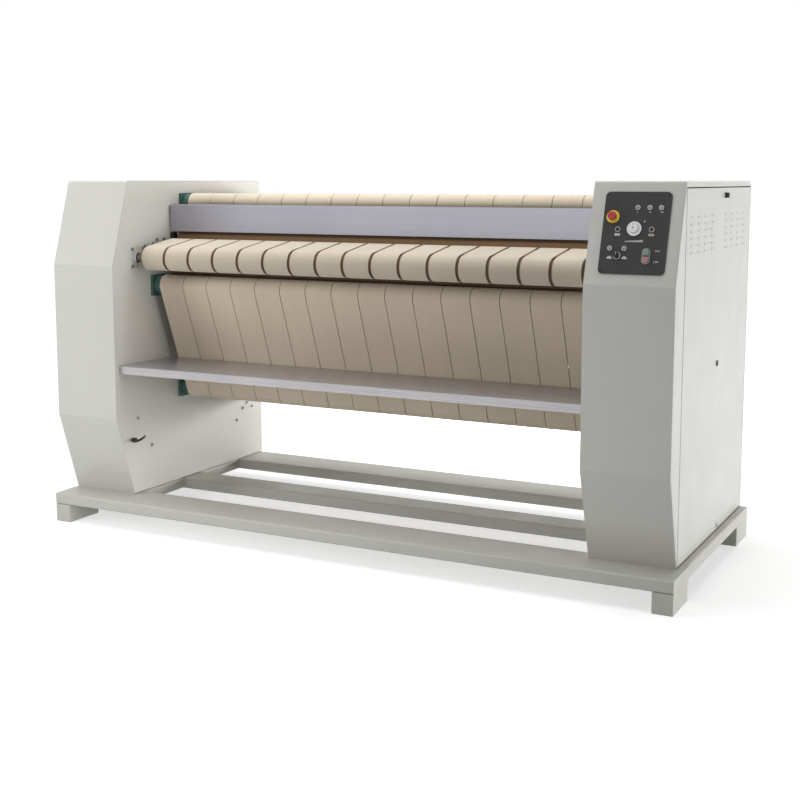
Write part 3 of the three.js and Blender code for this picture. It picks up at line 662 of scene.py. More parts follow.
def wire_clouding(bench: Bench, given: dict[str, NodeSocket]) -> Sequence[NodeSocket]:
    """Slow, uneven shade over a surface, about 1.

    Args:
        bench: The group's tree.
        given: Its inputs.

    Returns:
        The shade.
    """
    broad = bench.noise(given["Vector"], given["Size"], 2.0)
    fine = bench.noise(given["Vector"], bench.times(given["Size"], 7.0), 4.0)
    both = bench.arithmetic("ADD", bench.times(broad, 0.7), bench.times(fine, 0.3))
    low = bench.arithmetic("SUBTRACT", 1.0, given["Amount"])
    high = bench.arithmetic("ADD", 1.0, given["Amount"])
    return [bench.spread(both, low, high)]


def wire_peel(bench: Bench, given: dict[str, NodeSocket]) -> Sequence[NodeSocket]:
    """The slight ripple of sprayed paint, and the change of gloss that goes with it.

    Args:
        bench: The group's tree.
        given: Its inputs.

    Returns:
        The ripple's height and the roughness.
    """
    ripple = bench.noise(given["Vector"], given["Size"], 1.5)
    smear = bench.noise(given["Vector"], bench.times(given["Size"], 0.02), 3.0)
    rough = bench.times(given["Roughness"], bench.spread(smear, 0.85, 1.2))
    return [ripple, rough]


def wire_grain(bench: Bench, given: dict[str, NodeSocket]) -> Sequence[NodeSocket]:
    """Fine scratches along one way, from a noise that is stretched.

    Args:
        bench: The group's tree.
        given: Its inputs.

    Returns:
        The scratches' height, their shade about 1, and the roughness.
    """
    drawn = bench.stretch(given["Vector"], given["Fineness"])
    lines = bench.noise(drawn, 1.0, 5.0)
    bands = bench.noise(drawn, 0.08, 2.0)
    shade = bench.times(bench.spread(lines, 0.96, 1.04), bench.spread(bands, 0.98, 1.02))
    rough = bench.times(given["Roughness"], bench.spread(lines, 0.9, 1.12))
    return [lines, shade, rough]


def wire_fibre(bench: Bench, given: dict[str, NodeSocket]) -> Sequence[NodeSocket]:
    """Needled fibre: short tangled hairs, streaks along the run, and a few handling stains.

    Args:
        bench: The group's tree.
        given: Its inputs.

    Returns:
        The pile's height and its shade about 1.
    """
    hairs = bench.noise(given["Vector"], given["Pile"], 6.0)
    run = bench.noise(bench.stretch(given["Vector"], (40.0, 3.0, 3.0)), 1.0, 3.0)
    stains = bench.noise(given["Vector"], 2.2, 3.0)
    streaked = bench.times(bench.spread(hairs, 0.95, 1.04), bench.spread(run, 0.985, 1.015))
    shade = bench.times(streaked, bench.spread(stains, 0.96, 1.03))
    return [hairs, shade]


GROUP_PLANS = {
    Effect.CLOUDING: GroupPlan({"Size": 3.0, "Amount": 0.03}, ["Shade"], wire_clouding),
    Effect.PEEL: GroupPlan({"Size": 400.0, "Roughness": 0.4}, ["Height", "Roughness"], wire_peel),
    Effect.GRAIN: GroupPlan(
        {"Fineness": (1.0, 1.0, 1.0), "Roughness": 0.3}, ["Height", "Shade", "Roughness"], wire_grain
    ),
    Effect.FIBRE: GroupPlan({"Pile": 900.0}, ["Height", "Shade"], wire_fibre),
}


class Effects:
    """The shared shader groups, each built once."""

    def __init__(self) -> None:
        """Builds every group."""
        self.trees = {effect: self._build(effect) for effect in Effect}

    def _build(self, effect: Effect) -> NodeTree:
        """Builds one group from its plan.

        Args:
            effect: Which group.

        Returns:
            The group's tree.
        """
        plan = GROUP_PLANS[effect]
        tree = bpy.data.node_groups.new(effect.value, "ShaderNodeTree")
        tree.interface.new_socket(name="Vector", in_out="INPUT", socket_type="NodeSocketVector")
        for label, value in plan.inputs.items():
            kind = "NodeSocketVector" if isinstance(value, tuple) else "NodeSocketFloat"
            tree.interface.new_socket(name=label, in_out="INPUT", socket_type=kind).default_value = value
        for label in plan.outputs:
            tree.interface.new_socket(name=label, in_out="OUTPUT", socket_type="NodeSocketFloat")
        inside = tree.nodes.new("NodeGroupInput")
        outside = tree.nodes.new("NodeGroupOutput")
        given = {label: inside.outputs[label] for label in ("Vector", *plan.inputs)}
        for target, source in zip(outside.inputs, plan.wire(Bench(tree), given)):
            tree.links.new(source, target)
        return tree


class MaterialBench(Bench):
    """The bench of one material, with its shader, the point on the piece and the shared groups."""

    def __init__(self, material: Material, effects: Effects) -> None:
        """Takes the material to work on."""
        material.use_nodes = True
        super().__init__(material.node_tree)
        self.shader = self.tree.nodes["Principled BSDF"]
        self.spot = self.node("TexCoord").outputs["Object"]
        self.trees = effects.trees

    def effect(self, effect: Effect, **values: object) -> Node:
        """Adds a shared group, with a value or a socket for each of its inputs."""
        return self.feed(self.node("Group", node_tree=self.trees[effect]), Vector=self.spot, **values)


# ---------------------------------------------------------------- finishes


@dataclass(frozen=True)
class Finish:
    """A surface finish, built as a material of its own."""

    label: str
    colour: Colour
    roughness: float
    metallic: float = 0.0
    coat: float = 0.0

    def material(self, effects: Effects) -> Material:
        """Builds the material.

        Args:
            effects: The shared shader groups.

        Returns:
            The material.
        """
        made = bpy.data.materials.new(self.label)
        bench, colour = MaterialBench(made, effects), (*self.colour, 1)
        bench.feed(bench.shader, Base_Color=colour, Roughness=self.roughness, Metallic=self.metallic)
        bench.feed(bench.shader, Coat_Weight=self.coat, Coat_Roughness=0.12)
        self.dress(bench)
        return made

    def dress(self, bench: MaterialBench) -> None:
        """Adds what makes this finish more than one flat colour."""
        raise NotImplementedError

    def tint(self, bench: MaterialBench, *shades: NodeSocket) -> None:
        """Multiplies the colour by shades about 1.

        Args:
            bench: The material's bench.
            *shades: The shades.
        """
        total = shades[0]
        for shade in shades[1:]:
            total = bench.times(total, shade)
        scaled = bench.feed(bench.node("VectorMath", operation="SCALE"), Scale=total)
        scaled.inputs[0].default_value = self.colour
        bench.feed(bench.shader, Base_Color=scaled.outputs[0])

    def emboss(self, bench: MaterialBench, height: NodeSocket, depth: float, strength: float) -> None:
        """Gives the surface a relief from a height of 0 to 1, with its depth in metres."""
        bump = bench.feed(bench.node("Bump"), Height=height, Distance=depth, Strength=strength)
        bench.feed(bench.shader, Normal=bump.outputs["Normal"])

    def ripple(self, bench: MaterialBench, size: float, depth: float, strength: float) -> None:
        """Gives the surface a fine ripple and uneven gloss.

        Args:
            bench: The material's bench.
            size: How fine the ripple is.
            depth: Its depth in metres.
            strength: How much of it is felt.
        """
        skin = bench.effect(Effect.PEEL, Size=size, Roughness=self.roughness)
        bench.feed(bench.shader, Roughness=skin.outputs["Roughness"])
        self.emboss(bench, skin.outputs["Height"], depth, strength)


@dataclass(frozen=True)
class Enamel(Finish):
    """Sprayed enamel on sheet steel."""

    clouding: float = 0.02
    peel: float = 0.15

    def dress(self, bench: MaterialBench) -> None:
        """Adds clouding, orange peel and uneven gloss."""
        cloud = bench.effect(Effect.CLOUDING, Size=2.4, Amount=self.clouding)
        self.tint(bench, cloud.outputs["Shade"])
        self.ripple(bench, 420.0, 0.0002, self.peel)


@dataclass(frozen=True)
class BrushedSheet(Finish):
    """Sheet or bar with a fine grain along one way."""

    fineness: tuple[float, float, float] = (3.0, 900.0, 900.0)
    depth: float = 0.35

    def dress(self, bench: MaterialBench) -> None:
        """Adds the grain and faint clouding."""
        grain = bench.effect(Effect.GRAIN, Fineness=self.fineness, Roughness=self.roughness)
        cloud = bench.effect(Effect.CLOUDING, Size=3.5, Amount=0.04)
        self.tint(bench, grain.outputs["Shade"], cloud.outputs["Shade"])
        bench.feed(bench.shader, Roughness=grain.outputs["Roughness"])
        self.emboss(bench, grain.outputs["Height"], 0.0001, self.depth)


@dataclass(frozen=True)
class Felt(Finish):
    """Needled belt felt."""

    pile: float = 900.0

    def dress(self, bench: MaterialBench) -> None:
        """Adds the pile, streaks and stains, and a soft sheen."""
        fibre = bench.effect(Effect.FIBRE, Pile=self.pile)
        self.tint(bench, fibre.outputs["Shade"])
        bench.feed(bench.shader, Sheen_Weight=0.25, Sheen_Roughness=0.6)
        self.emboss(bench, fibre.outputs["Height"], 0.0008, 0.5)


@dataclass(frozen=True)
class Moulded(Finish):
    """Moulded plastic, rubber or printed film with a fine texture."""

    texture: float = 1600.0
    relief: float = 0.12

    def dress(self, bench: MaterialBench) -> None:
        """Adds the mould's texture and a little clouding."""
        cloud = bench.effect(Effect.CLOUDING, Size=14.0, Amount=0.05)
        self.tint(bench, cloud.outputs["Shade"])
        self.ripple(bench, self.texture, 0.0001, self.relief)


BAR = (900.0, 30.0, 30.0)  # grain round a bar along X


@dataclass(frozen=True)
class Finishes:
    """Every finish on the ironer."""

    enamel: Finish = Enamel("cabinet_enamel", srgb(206, 205, 199), 0.36, coat=0.25)
    inner_enamel: Finish = Enamel("frame_enamel", srgb(212, 210, 204), 0.4, coat=0.15)
    base_enamel: Finish = Enamel("base_enamel", srgb(198, 197, 190), 0.42, coat=0.1, peel=0.25)
    stainless: Finish = BrushedSheet("stainless_sheet", srgb(172, 171, 180), 0.42, metallic=1.0, depth=0.2)
    tray: Finish = BrushedSheet("stainless_tray", srgb(180, 177, 180), 0.28, metallic=0.55, depth=0.2)
    steel: Finish = BrushedSheet("ground_steel", srgb(150, 152, 155), 0.32, metallic=1.0, fineness=BAR)
    zinc: Finish = Moulded("zinc_plated", srgb(165, 166, 163), 0.35, metallic=1.0)
    # The cylinder's dark brown is painted shade: darkened to match the deep shade where the cylinder shows
    # between the guard and the feed belts.
    burnished: Finish = BrushedSheet("burnished_steel", srgb(110, 87, 64), 0.42, metallic=0.9, fineness=BAR)
    chain_steel: Finish = BrushedSheet(
        "oiled_chain_steel", srgb(92, 88, 82), 0.38, metallic=1.0, fineness=(400.0, 400.0, 400.0)
    )
    roller_green: Finish = Enamel("roller_green", srgb(62, 96, 88), 0.45, peel=0.3)
    brown_rubber: Finish = Moulded("brown_rubber", srgb(104, 80, 56), 0.75, relief=0.4)
    belt: Finish = Felt("belt_felt", srgb(212, 198, 176), 0.95)
    feed_belt: Finish = Felt("feed_belt_felt", srgb(192, 181, 162), 0.92, pile=1200.0)
    bed: Finish = Enamel("slider_bed_paint", srgb(122, 94, 66), 0.5)
    fascia: Finish = Moulded("fascia_film", srgb(40, 40, 39), 0.5, texture=900.0)
    print_white: Finish = Moulded("fascia_print", srgb(214, 214, 210), 0.5)
    print_rose: Finish = Moulded("fascia_print_rose", srgb(206, 178, 176), 0.5)
    print_dark: Finish = Moulded("fascia_print_dark", srgb(52, 52, 52), 0.5)
    black: Finish = Moulded("black_moulding", srgb(28, 28, 28), 0.42)
    chrome: Finish = Moulded("chrome_trim", srgb(205, 206, 208), 0.12, metallic=1.0, relief=0.03)
    lamp: Finish = Moulded("lamp_lens", srgb(148, 150, 146), 0.22, coat=0.5, relief=0.3)
    yellow: Finish = Moulded("emergency_yellow", srgb(240, 214, 72), 0.35, coat=0.3, relief=0.06)
    red: Finish = Moulded("emergency_red", srgb(176, 40, 44), 0.28, coat=0.5, relief=0.06)
    start_green: Finish = Moulded("start_green", srgb(120, 150, 128), 0.3, coat=0.4, relief=0.06)
    stop_red: Finish = Moulded("stop_red", srgb(176, 128, 126), 0.3, coat=0.4, relief=0.06)
    grey_trim: Finish = Moulded("grey_trim", srgb(150, 151, 148), 0.3, relief=0.06)
    black_oxide: Finish = Moulded("black_oxide", srgb(40, 40, 42), 0.4, metallic=0.8)
    aluminium: Finish = BrushedSheet(
        "turned_aluminium", srgb(196, 197, 198), 0.3, metallic=1.0, fineness=(700.0, 700.0, 700.0)
    )
    motor: Finish = Enamel("motor_grey", srgb(94, 102, 106), 0.5, peel=0.5)
    enclosure: Finish = Enamel("enclosure_grey", srgb(168, 171, 170), 0.45, peel=0.4)


# ---------------------------------------------------------------- workshop


class Workshop:
    """Where meshes become finished pieces that ride on the frame's bodies."""

    def __init__(self, ironer: Ironer) -> None:
        """Takes the frame and builds the shared shader groups."""
        self.ironer = ironer
        self.finishes = Finishes()
        self._effects = Effects()
        self._materials: dict[str, Material] = {}

    def material(self, finish: Finish) -> Material:
        """The material of a finish, made when it is first asked for."""
        if finish.label not in self._materials:
            self._materials[finish.label] = finish.material(self._effects)
        return self._materials[finish.label]

    def paint(self, finish: Finish, *nodes: str) -> None:
        """Gives nodes that stay in view their finish."""
        for node in nodes:
            self.ironer.paint(node, self.material(finish))
            LOG.info("%s keeps its own shape", node)

    def fit(
        self,
        name: str,
        bm: BMesh,
        finish: Finish,
        node: str,
        replaces: bool = True,
        smooth: float = 40.0,
        wall: float = 0.0,
        edge: float = 0.0,
        slot: str = "",
    ) -> bpy.types.Object:
        """Makes a piece from a mesh, at the origin, with its place in its mesh.

        Args:
            name: The piece's name.
            bm: Its mesh, which is used up.
            finish: Its finish.
            node: The node that it stands for, or whose body it takes.
            replaces: True if it stands for the node.
            smooth: Faces that meet at less than this angle in degrees are shaded as one.
            wall: Thickness that an open sheet grows inwards, or 0.
            edge: Radius of a small round on every sharp edge, or 0.
            slot: The record's slot of its finish, where it isn't the node's; not used.

        Returns:
            The piece.
        """
        if wall:
            bmesh.ops.solidify(bm, geom=bm.faces[:], thickness=wall)
        data = bpy.data.meshes.new(name)
        bm.to_mesh(data)
        bm.free()
        data.materials.append(self.material(finish))
        data.shade_smooth()
        data.set_sharp_from_angle(angle=math.radians(smooth))
        piece = bpy.data.objects.new(name, data)
        bpy.context.scene.collection.objects.link(piece)
        if edge:
            fold = piece.modifiers.new("edge", "BEVEL")
            fold.width = edge
            fold.segments = 2
            fold.limit_method = "ANGLE"
            fold.angle_limit = math.radians(smooth)
        flats = piece.modifiers.new("flats", "WEIGHTED_NORMAL")
        flats.keep_sharp = True
        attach(piece, self.ironer.body(node))
        slot or self.ironer.slot(node)
        if replaces:
            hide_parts(node)
        LOG.info("%s rides on %s", name, self.ironer.body(node))
        return piece


@dataclass
class SubAssembly:
    """A group of pieces that one class makes in one workshop."""

    shop: Workshop

    def __post_init__(self) -> None:
        """Keeps the workshop's finishes and its fitting at hand."""
        self.finishes = self.shop.finishes
        self.fit = self.shop.fit


# ---------------------------------------------------------------- base


@dataclass
class Base(SubAssembly):
    """The welded frame on the floor: closed folded beams on four feet."""

    bend: float = 0.008
    foot_round: float = 0.003
    edge: float = 0.0008

    def build(self) -> None:
        """Makes every beam and foot from its node's box."""
        finish = self.finishes.base_enamel
        for name in ("front_rail", "rear_rail", "middle_rail", "left_end", "right_end"):
            node = f"base_{name}"
            bm = round_edges(block(*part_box(node)), self.bend, runs(1 if "end" in name else 0), 4)
            self.fit(f"{name}_beam", bm, finish, node, edge=self.edge)
        for row in ("front", "rear"):
            for side in Side:
                node = f"base_foot_{row}_{side.label}"
                bm = round_edges(block(*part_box(node)), self.foot_round, crease())
                self.fit(f"foot_{row}_{side.label}", bm, finish, node)


# ---------------------------------------------------------------- cabinets


@dataclass(frozen=True)
class Outline:
    """A cabinet's outline from the side: three facets at the front, two bends and a lip."""

    lower_bend: float = 0.490
    upper_bend: float = 1.170
    lip: float = -0.450

    def corners(self, low: Vector, high: Vector) -> list[tuple[float, float]]:
        """Pairs of Y and Z in the cover's box: the front's four from its foot up, and the back's two."""
        front = [(self.lip, low.z), (low.y, self.lower_bend), (low.y, self.upper_bend), (self.lip, high.z)]
        return [*front, (high.y, high.z), (high.y, low.z)]


@dataclass(frozen=True)
class ConsolePlace:
    """Where the control console lies: the lower bend of the right cabinet's slanted upper facet."""

    foot: tuple[float, float, float] = (0.0, -0.565, 1.170)
    rise: float = 0.370
    run: float = 0.115
    window: tuple[tuple[float, float], tuple[float, float]] = ((1.124, 0.057), (1.337, 0.331))

    @property
    def matrix(self) -> Matrix:
        """From the console's axes, X as the ironer's and Y up the facet, to the ironer's."""
        return at(*self.foot) @ Matrix.Rotation(math.atan2(self.rise, self.run), 4, "X")


@dataclass
class Cabinet(SubAssembly):
    """One end cabinet: folded cover, side and rear panels, frame plate and locks."""

    side: Side
    sheet: float = 0.0025
    bend: float = 0.004
    top_bend: float = 0.008
    rear_round: float = 0.020
    edge_round: float = 0.006
    strip_rear: float = -0.4485
    panel_rear: float = 0.577
    window_top: float = 1.5175
    window_depth: float = 0.018
    rear_top: float = 1.4763
    lock_hole: float = 0.0063
    locks: tuple[tuple[str, float, float], ...] = (
        ("top", 0.135, 1.484), ("middle", 0.074, 0.826), ("bottom", 0.150, 0.156)
    )
    louvre_size: tuple[float, float] = (0.052, 0.007)
    louvre_pitch: tuple[float, float] = (0.102, 0.026)
    louvre_grid: tuple[int, int] = (4, 6)
    louvre_starts: tuple[float, float] = (-0.356, 0.168)
    louvre_top: float = 1.411
    hood: float = 0.0035
    hood_sheet: float = 0.0009

    def build(self) -> None:
        """Makes the cabinet's pieces."""
        self.low, self.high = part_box(f"{self.side.label}_cover")
        self.inner, self.outer = (self.low.x, self.high.x)[::self.side.way]
        self._cover()
        self._side_panel()
        self._rear_panel()
        FramePlate(self.shop, self.side, self.inner).build()
        for name, y, z in self.locks:
            self._lock(name, y, z)

    def _cover(self) -> None:
        """Folds the cover: facets, top, rounded rear edge and the rim of the outer side."""
        low, high, label = self.low, self.high, self.side.label
        corners = Outline().corners(low, high)
        bm = place(flat(corners), at(self.inner, 0, 0) @ UPRIGHT)
        raise_face(bm, (self.outer - self.inner, 0, 0))
        rounds = [(4, self.rear_round, 6), (1, self.bend, 4), (2, self.bend, 4), (3, self.top_bend, 4)]
        for number, reach, steps in rounds:
            y, z = corners[number]
            round_edges(bm, reach, lambda e: borders(1, y)(e) and borders(2, z)(e), steps)
        drop(bm, lambda m: lies(2, low.z)(m) or lies(0, self.inner)(m))
        round_edges(bm, self.edge_round, lambda e: len(e.link_faces) == 2 and borders(0, self.outer)(e))
        if self.side is Side.RIGHT:
            self._console_window(bm)
        score(bm, 0, self.outer - self.side.way * self.window_depth)
        score(bm, 1, self.strip_rear, self.panel_rear, high.y - self.edge_round)
        score(bm, 2, self.window_top, self.rear_top)
        drop(bm, self._in_window)
        self.fit(f"{label}_cover_sheet", bm, self.finishes.enamel, f"{label}_cover", wall=self.sheet)

    def _console_window(self, bm: BMesh) -> None:
        """Opens the upper facet behind the control plate.

        Args:
            bm: The cover's skin.
        """
        plate = ConsolePlace()
        (left, low), (right, high) = plate.window
        place(bm, plate.matrix.inverted())
        score(bm, 0, left, right)
        score(bm, 1, low, high)
        drop(bm, lambda m: lies(2, 0)(m) and left < m.x < right and low < m.y < high)
        place(bm, plate.matrix)

    def _in_window(self, spot: Vector) -> bool:
        """Tells where the side panel or the rear panel takes the cover's place.

        Args:
            spot: A point on the cover.

        Returns:
            True if it is in a panel's place.
        """
        beyond = (spot.x - self.outer) * self.side.way > -self.window_depth
        below = spot.z < (self.window_top if spot.y < self.panel_rear else self.rear_top)
        side_open = beyond and spot.y > self.strip_rear and below
        rear_open = spot.y > self.high.y - self.edge_round and spot.z < self.rear_top
        return side_open or rear_open

    def _side_panel(self) -> None:
        """Folds the panel on the outer side, with its lock holes and, on the right, its louvres."""
        node = f"{self.side.label}_side_panel"
        bm = pan(*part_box(node), 0, self.outer)
        cuts = [ring_face(self.lock_hole, 20, at(y, z, 0)) for _, y, z in self.locks]
        vents = self._vents() if self.side is Side.RIGHT else []
        cuts += [place(flat(rectangle(*self.louvre_size)), at(y, z, 0)) for y, z in vents]
        pierce(bm, *(place(cut, at(self.outer, 0, 0) @ UPRIGHT) for cut in cuts))
        finish = self.finishes.enamel
        self.fit(f"{self.side.label}_side_sheet", bm, finish, node, wall=self.sheet)
        if vents:
            hoods = copies(self._hood(), [at(self.outer, y, z) for y, z in vents])
            self.fit("right_louvre_hoods", hoods, finish, node, smooth=50)

    def _vents(self) -> list[tuple[float, float]]:
        """Spreads the louvres in two groups.

        Returns:
            The Y and Z of every louvre.
        """
        (pitch_y, pitch_z), (columns, rows) = self.louvre_pitch, self.louvre_grid
        return [
            (first + pitch_y * column, self.louvre_top - pitch_z * row)
            for first in self.louvre_starts for row in range(rows) for column in range(columns)
        ]

    def _hood(self) -> BMesh:
        """Presses a louvre's hood: shut above, open below.

        Returns:
            The hood as a mesh, over a slot whose middle is the origin.
        """
        half, bottom = self.louvre_size[0] / 2 + 0.002, -self.louvre_size[1] / 2
        back, top = -0.0006, 0.003 - bottom
        bm = block((back, -half, bottom), (self.hood, half, top))
        upper = [vert for vert in bm.verts if vert.co.x > 0 and vert.co.z > 0]
        bmesh.ops.translate(bm, vec=(-self.hood, 0, 0), verts=upper)
        outside = [vert for vert in bm.verts if vert.co.x > 0 > vert.co.z]
        bmesh.ops.scale(bm, vec=(1, 0.9, 1), verts=outside)
        drop(bm, lambda m: lies(0, back)(m) or lies(2, bottom)(m))
        round_edges(bm, 0.0012, crease(20), 2)
        face_out(bm, (1, 0, 0.3))
        bmesh.ops.solidify(bm, geom=bm.faces[:], thickness=self.hood_sheet)
        return bm

    def _lock(self, name: str, y: float, z: float) -> None:
        """Makes one quarter-turn lock: a slotted head, or a square grip, and the tongue behind.

        Args:
            name: top, middle or bottom.
            y: Its place across the panel.
            z: Its height.
        """
        radius, rise, groove, gap, depth, half = 0.012, 0.0033, 0.0015, 0.0003, 0.016, 0.006
        rod = place(disc(0.005, depth + 0.0005, 16), at(0, 0, -depth))
        tongue = block((-half, -half, -depth), (half, 0.034, 0.003 - depth))
        shapes = [rod, round_edges(tongue, 0.0008, crease(), 2)]
        if self.side is Side.RIGHT and name == "top":
            grip = place(tile(0.020, 0.020, 0.014, 0.002), at(0, 0, gap))
            round_edges(grip, 0.001, borders(2, 0.014 + gap))
            shapes += [place(disc(radius, 0.003, 36), at(0, 0, gap)), grip]
        else:
            slot = round_corners(flat(rectangle(0.0186, 0.0024)), 0.0011, steps=4)
            top = raise_face(pierce(ring_face(radius, 36), slot), (0, 0, groove))
            rim = radius - 0.0005
            round_edges(top, 0.0006, lambda e: borders(2, groove)(e) and middle(e).xy.length > rim, 2)
            foot = rise - groove
            shapes += [place(disc(radius, foot, 36), at(0, 0, gap)), place(top, at(0, 0, foot + gap))]
        bm = gather(*shapes)
        place(bm, at(self.outer, y, z) @ about("Z", 0 if self.side is Side.RIGHT else 180) @ UPRIGHT)
        finish = self.finishes.chrome if name == "bottom" else self.finishes.black
        self.fit(f"{self.side.label}_{name}_lock_head", bm, finish, f"{self.side.label}_lock_{name}")

    def _rear_panel(self) -> None:
        """Folds the pan that closes the back."""
        node = f"{self.side.label}_rear_panel"
        low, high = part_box(node)
        bm = pan(low, high, 1, high.y)
        self.fit(f"{self.side.label}_rear_sheet", bm, self.finishes.enamel, node, wall=self.sheet)


@dataclass
class FramePlate(SubAssembly):
    """The thick inner plate of a cabinet, with the bearings of every roll."""

    side: Side
    inner: float
    thickness: float = 0.010
    clear: float = 0.0028
    bend: float = 0.006
    rear_round: float = 0.020
    bore: float = 0.0155
    main_bore: float = 0.0457
    hub: float = 0.030
    hub_depth: float = 0.024
    housing: float = 0.096
    housing_depth: float = 0.014
    pivot_bore: float = 0.0057
    lever_sweep: float = 55.0
    slot_width: float = 0.012
    foot_inset: float = 0.020
    foot_depth: float = 0.070
    edge: float = 0.0008
    flange_bolt: float = 0.0135
    main_bolt: float = 0.067
    flanges: tuple[float, ...] = (0, 0, 0, 0.104, 0.104, 0.104, 0.076)  # 0 for a bearing in a housing
    plain_bolts: tuple[tuple[float, float], ...] = (
        (-0.320, 0.334), (0.365, 0.334), (0.421, 0.387), (0.502, 0.386), (0.457, 0.411)
    )

    def build(self) -> None:
        """Cuts the plate and sets the bearings and bolts on it."""
        label, finishes = self.side.label, self.finishes
        node = f"{label}_frame_plate"
        self.way = self.side.way
        self.rolls = list(zip((*BELT_ROLLERS, *FEED_ROLLERS), self.flanges))
        self._plate(node)
        bearings = [self._bearing(*axis_of(roll), size) for roll, size in self.rolls]
        bm = gather(*bearings, self._main_bearing())
        self.fit(f"{label}_bearings", bm, finishes.roller_green, node, smooth=35, slot="green_paint")
        self.fit(f"{label}_plate_bolts", self._bolts(), finishes.zinc, node, slot="steel")
        outside = [self._spot(y, z, self.thickness + 0.008, self.way) for y, z in self._flange_bolts()]
        bm = copies(bolt(0.016, 0.006), outside)
        self.fit(f"{label}_bearing_nuts", bm, finishes.black_oxide, node, slot="steel")

    def _spot(self, y: float, z: float, depth: float, way: int) -> Matrix:
        """Where a fitting goes with its foot a depth behind the plate's inner face, standing along X."""
        return at(self.inner + self.way * depth, y, z) @ (TO_X if way > 0 else TO_MINUS_X)

    def _plate(self, node: str) -> None:
        """Cuts the plate with its bores, and folds the flange at its foot.

        Args:
            node: The frame plate's node.
        """
        low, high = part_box(f"{self.side.label}_cover")
        corners, lip = Outline().corners(low, high), Outline.lip
        sheet = flat([corners[0], *corners[:0:-1]])
        round_corners(sheet, self.rear_round, lambda spot: spot.x > 0 and spot.y > 1)
        round_corners(sheet, self.bend, lambda spot: spot.x < lip + MERGE and spot.y > low.z + MERGE)
        rim = bmesh.ops.inset_region(
            sheet, faces=sheet.faces[:], thickness=self.clear, use_boundary=True, use_even_offset=True
        )
        bmesh.ops.delete(sheet, geom=rim["faces"], context="FACES")
        cuts = [ring_face(self.bore, 24, at(*axis_of(roll), 0)) for roll, _ in self.rolls]
        cuts.append(ring_face(self.main_bore, 40, at(*axis_of("heated_cylinder"), 0)))
        cuts.append(ring_face(self.pivot_bore, 16, at(*Guard.pivot, 0)))
        if self.side is Side.LEFT:
            cuts.append(self._arc_slot())
        raise_face(pierce(sheet, *cuts), (0, 0, self.thickness * self.way))
        place(sheet, at(self.inner, 0, 0) @ UPRIGHT)
        floor = low.z + self.clear
        foot = block(
            (self.inner + self.way * (self.thickness - 0.001), lip + self.foot_inset, floor),
            (self.inner + self.way * self.foot_depth, high.y - self.foot_inset, floor + self.thickness),
        )
        bm = gather(sheet, foot)
        self.fit(f"{self.side.label}_plate_sheet", bm, self.finishes.inner_enamel, node, edge=self.edge)

    def _arc_slot(self) -> BMesh:
        """Draws the slot that the tension lever's stud runs in.

        Returns:
            The slot as a flat shape.
        """
        half = self.slot_width / 2
        spare = math.degrees(half / TensionLever.reach)
        sweep = self.lever_sweep + 2 * spare
        bm = bmesh.new()
        edge = bm.edges.new([bm.verts.new((TensionLever.reach + off, 0, 0)) for off in (-half, half)])
        bmesh.ops.spin(
            bm, geom=[edge], cent=(0, 0, 0), axis=(0, 0, 1), angle=math.radians(sweep), steps=14
        )
        bmesh.ops.dissolve_faces(bm, faces=bm.faces[:])
        long = self.slot_width * 0.9
        tips = [vert for vert in bm.verts if len({e.calc_length() > long for e in vert.link_edges}) == 2]
        bevel(bm, tips, half - 0.0005, 5)
        return place(bm, at(*TensionLever.pivot, 0) @ about("Z", -90 - sweep / 2))

    def _square(self, size: float, height: float, bore: float, corner: float) -> BMesh:
        """A square block about the origin with a bore through it, standing on Z = 0.

        Args:
            size: Its size along X and along Y.
            height: Its size along Z.
            bore: Radius of the bore.
            corner: Radius of its corners.

        Returns:
            The block as a mesh.
        """
        bm = round_corners(flat(rectangle(size, size)), corner)
        raise_face(pierce(bm, ring_face(bore, 32)), (0, 0, height))
        rim = (size / 2 - 0.002) * 0.95
        top = borders(2, height)
        return round_edges(bm, 0.0015, lambda e: top(e) and max(map(abs, middle(e).xy)) > rim, 2)

    def _hub(self, bore: float, radius: float, height: float) -> BMesh:
        """A round hub about the origin with a bore through it, standing on Z = 0."""
        return turned([(bore, 0), (radius, 0), (radius, height - 0.004), (radius - 0.003, height),
                       (bore + 0.002, height), (bore, height - 0.002), (bore, 0)], 36)

    def _bearing(self, y: float, z: float, size: float) -> BMesh:
        """A roller's bearing: a hub behind the plate, on a flange or in a housing.

        Args:
            y: The roller's Y.
            z: The roller's Z.
            size: Size of the flange, or 0 for a housing.

        Returns:
            The bearing as a mesh.
        """
        if size:
            foot = self._square(size, 0.008, self.bore, 0.010)
            place(foot, self._spot(y, z, self.thickness, self.way))
        else:
            foot = self._square(self.housing, self.housing_depth, self.bore, 0.006)
            place(foot, self._spot(y, z, 0, -self.way))
        hub = self._hub(self.bore, self.hub, self.hub_depth + 0.001)
        return gather(foot, place(hub, self._spot(y, z, self.thickness - 0.001, self.way)))

    def _main_bearing(self) -> BMesh:
        """Makes the cylinder's large flange bearing.

        Returns:
            The bearing as a mesh.
        """
        spot = self._spot(*axis_of("heated_cylinder"), self.thickness, self.way)
        return gather(place(self._square(0.170, 0.014, self.main_bore, 0.018), spot),
                      place(self._hub(self.main_bore, 0.072, 0.036), spot))

    def _flange_bolts(self) -> list[tuple[float, float]]:
        """Finds the four bolts of every flange.

        Returns:
            The Y and Z of every bolt.
        """
        spots = []
        for roll, size in self.rolls:
            y, z = axis_of(roll)
            span = size - 2 * self.flange_bolt
            spots += [(y + a, z + b) for a, b in rectangle(span, span) if size]
        return spots

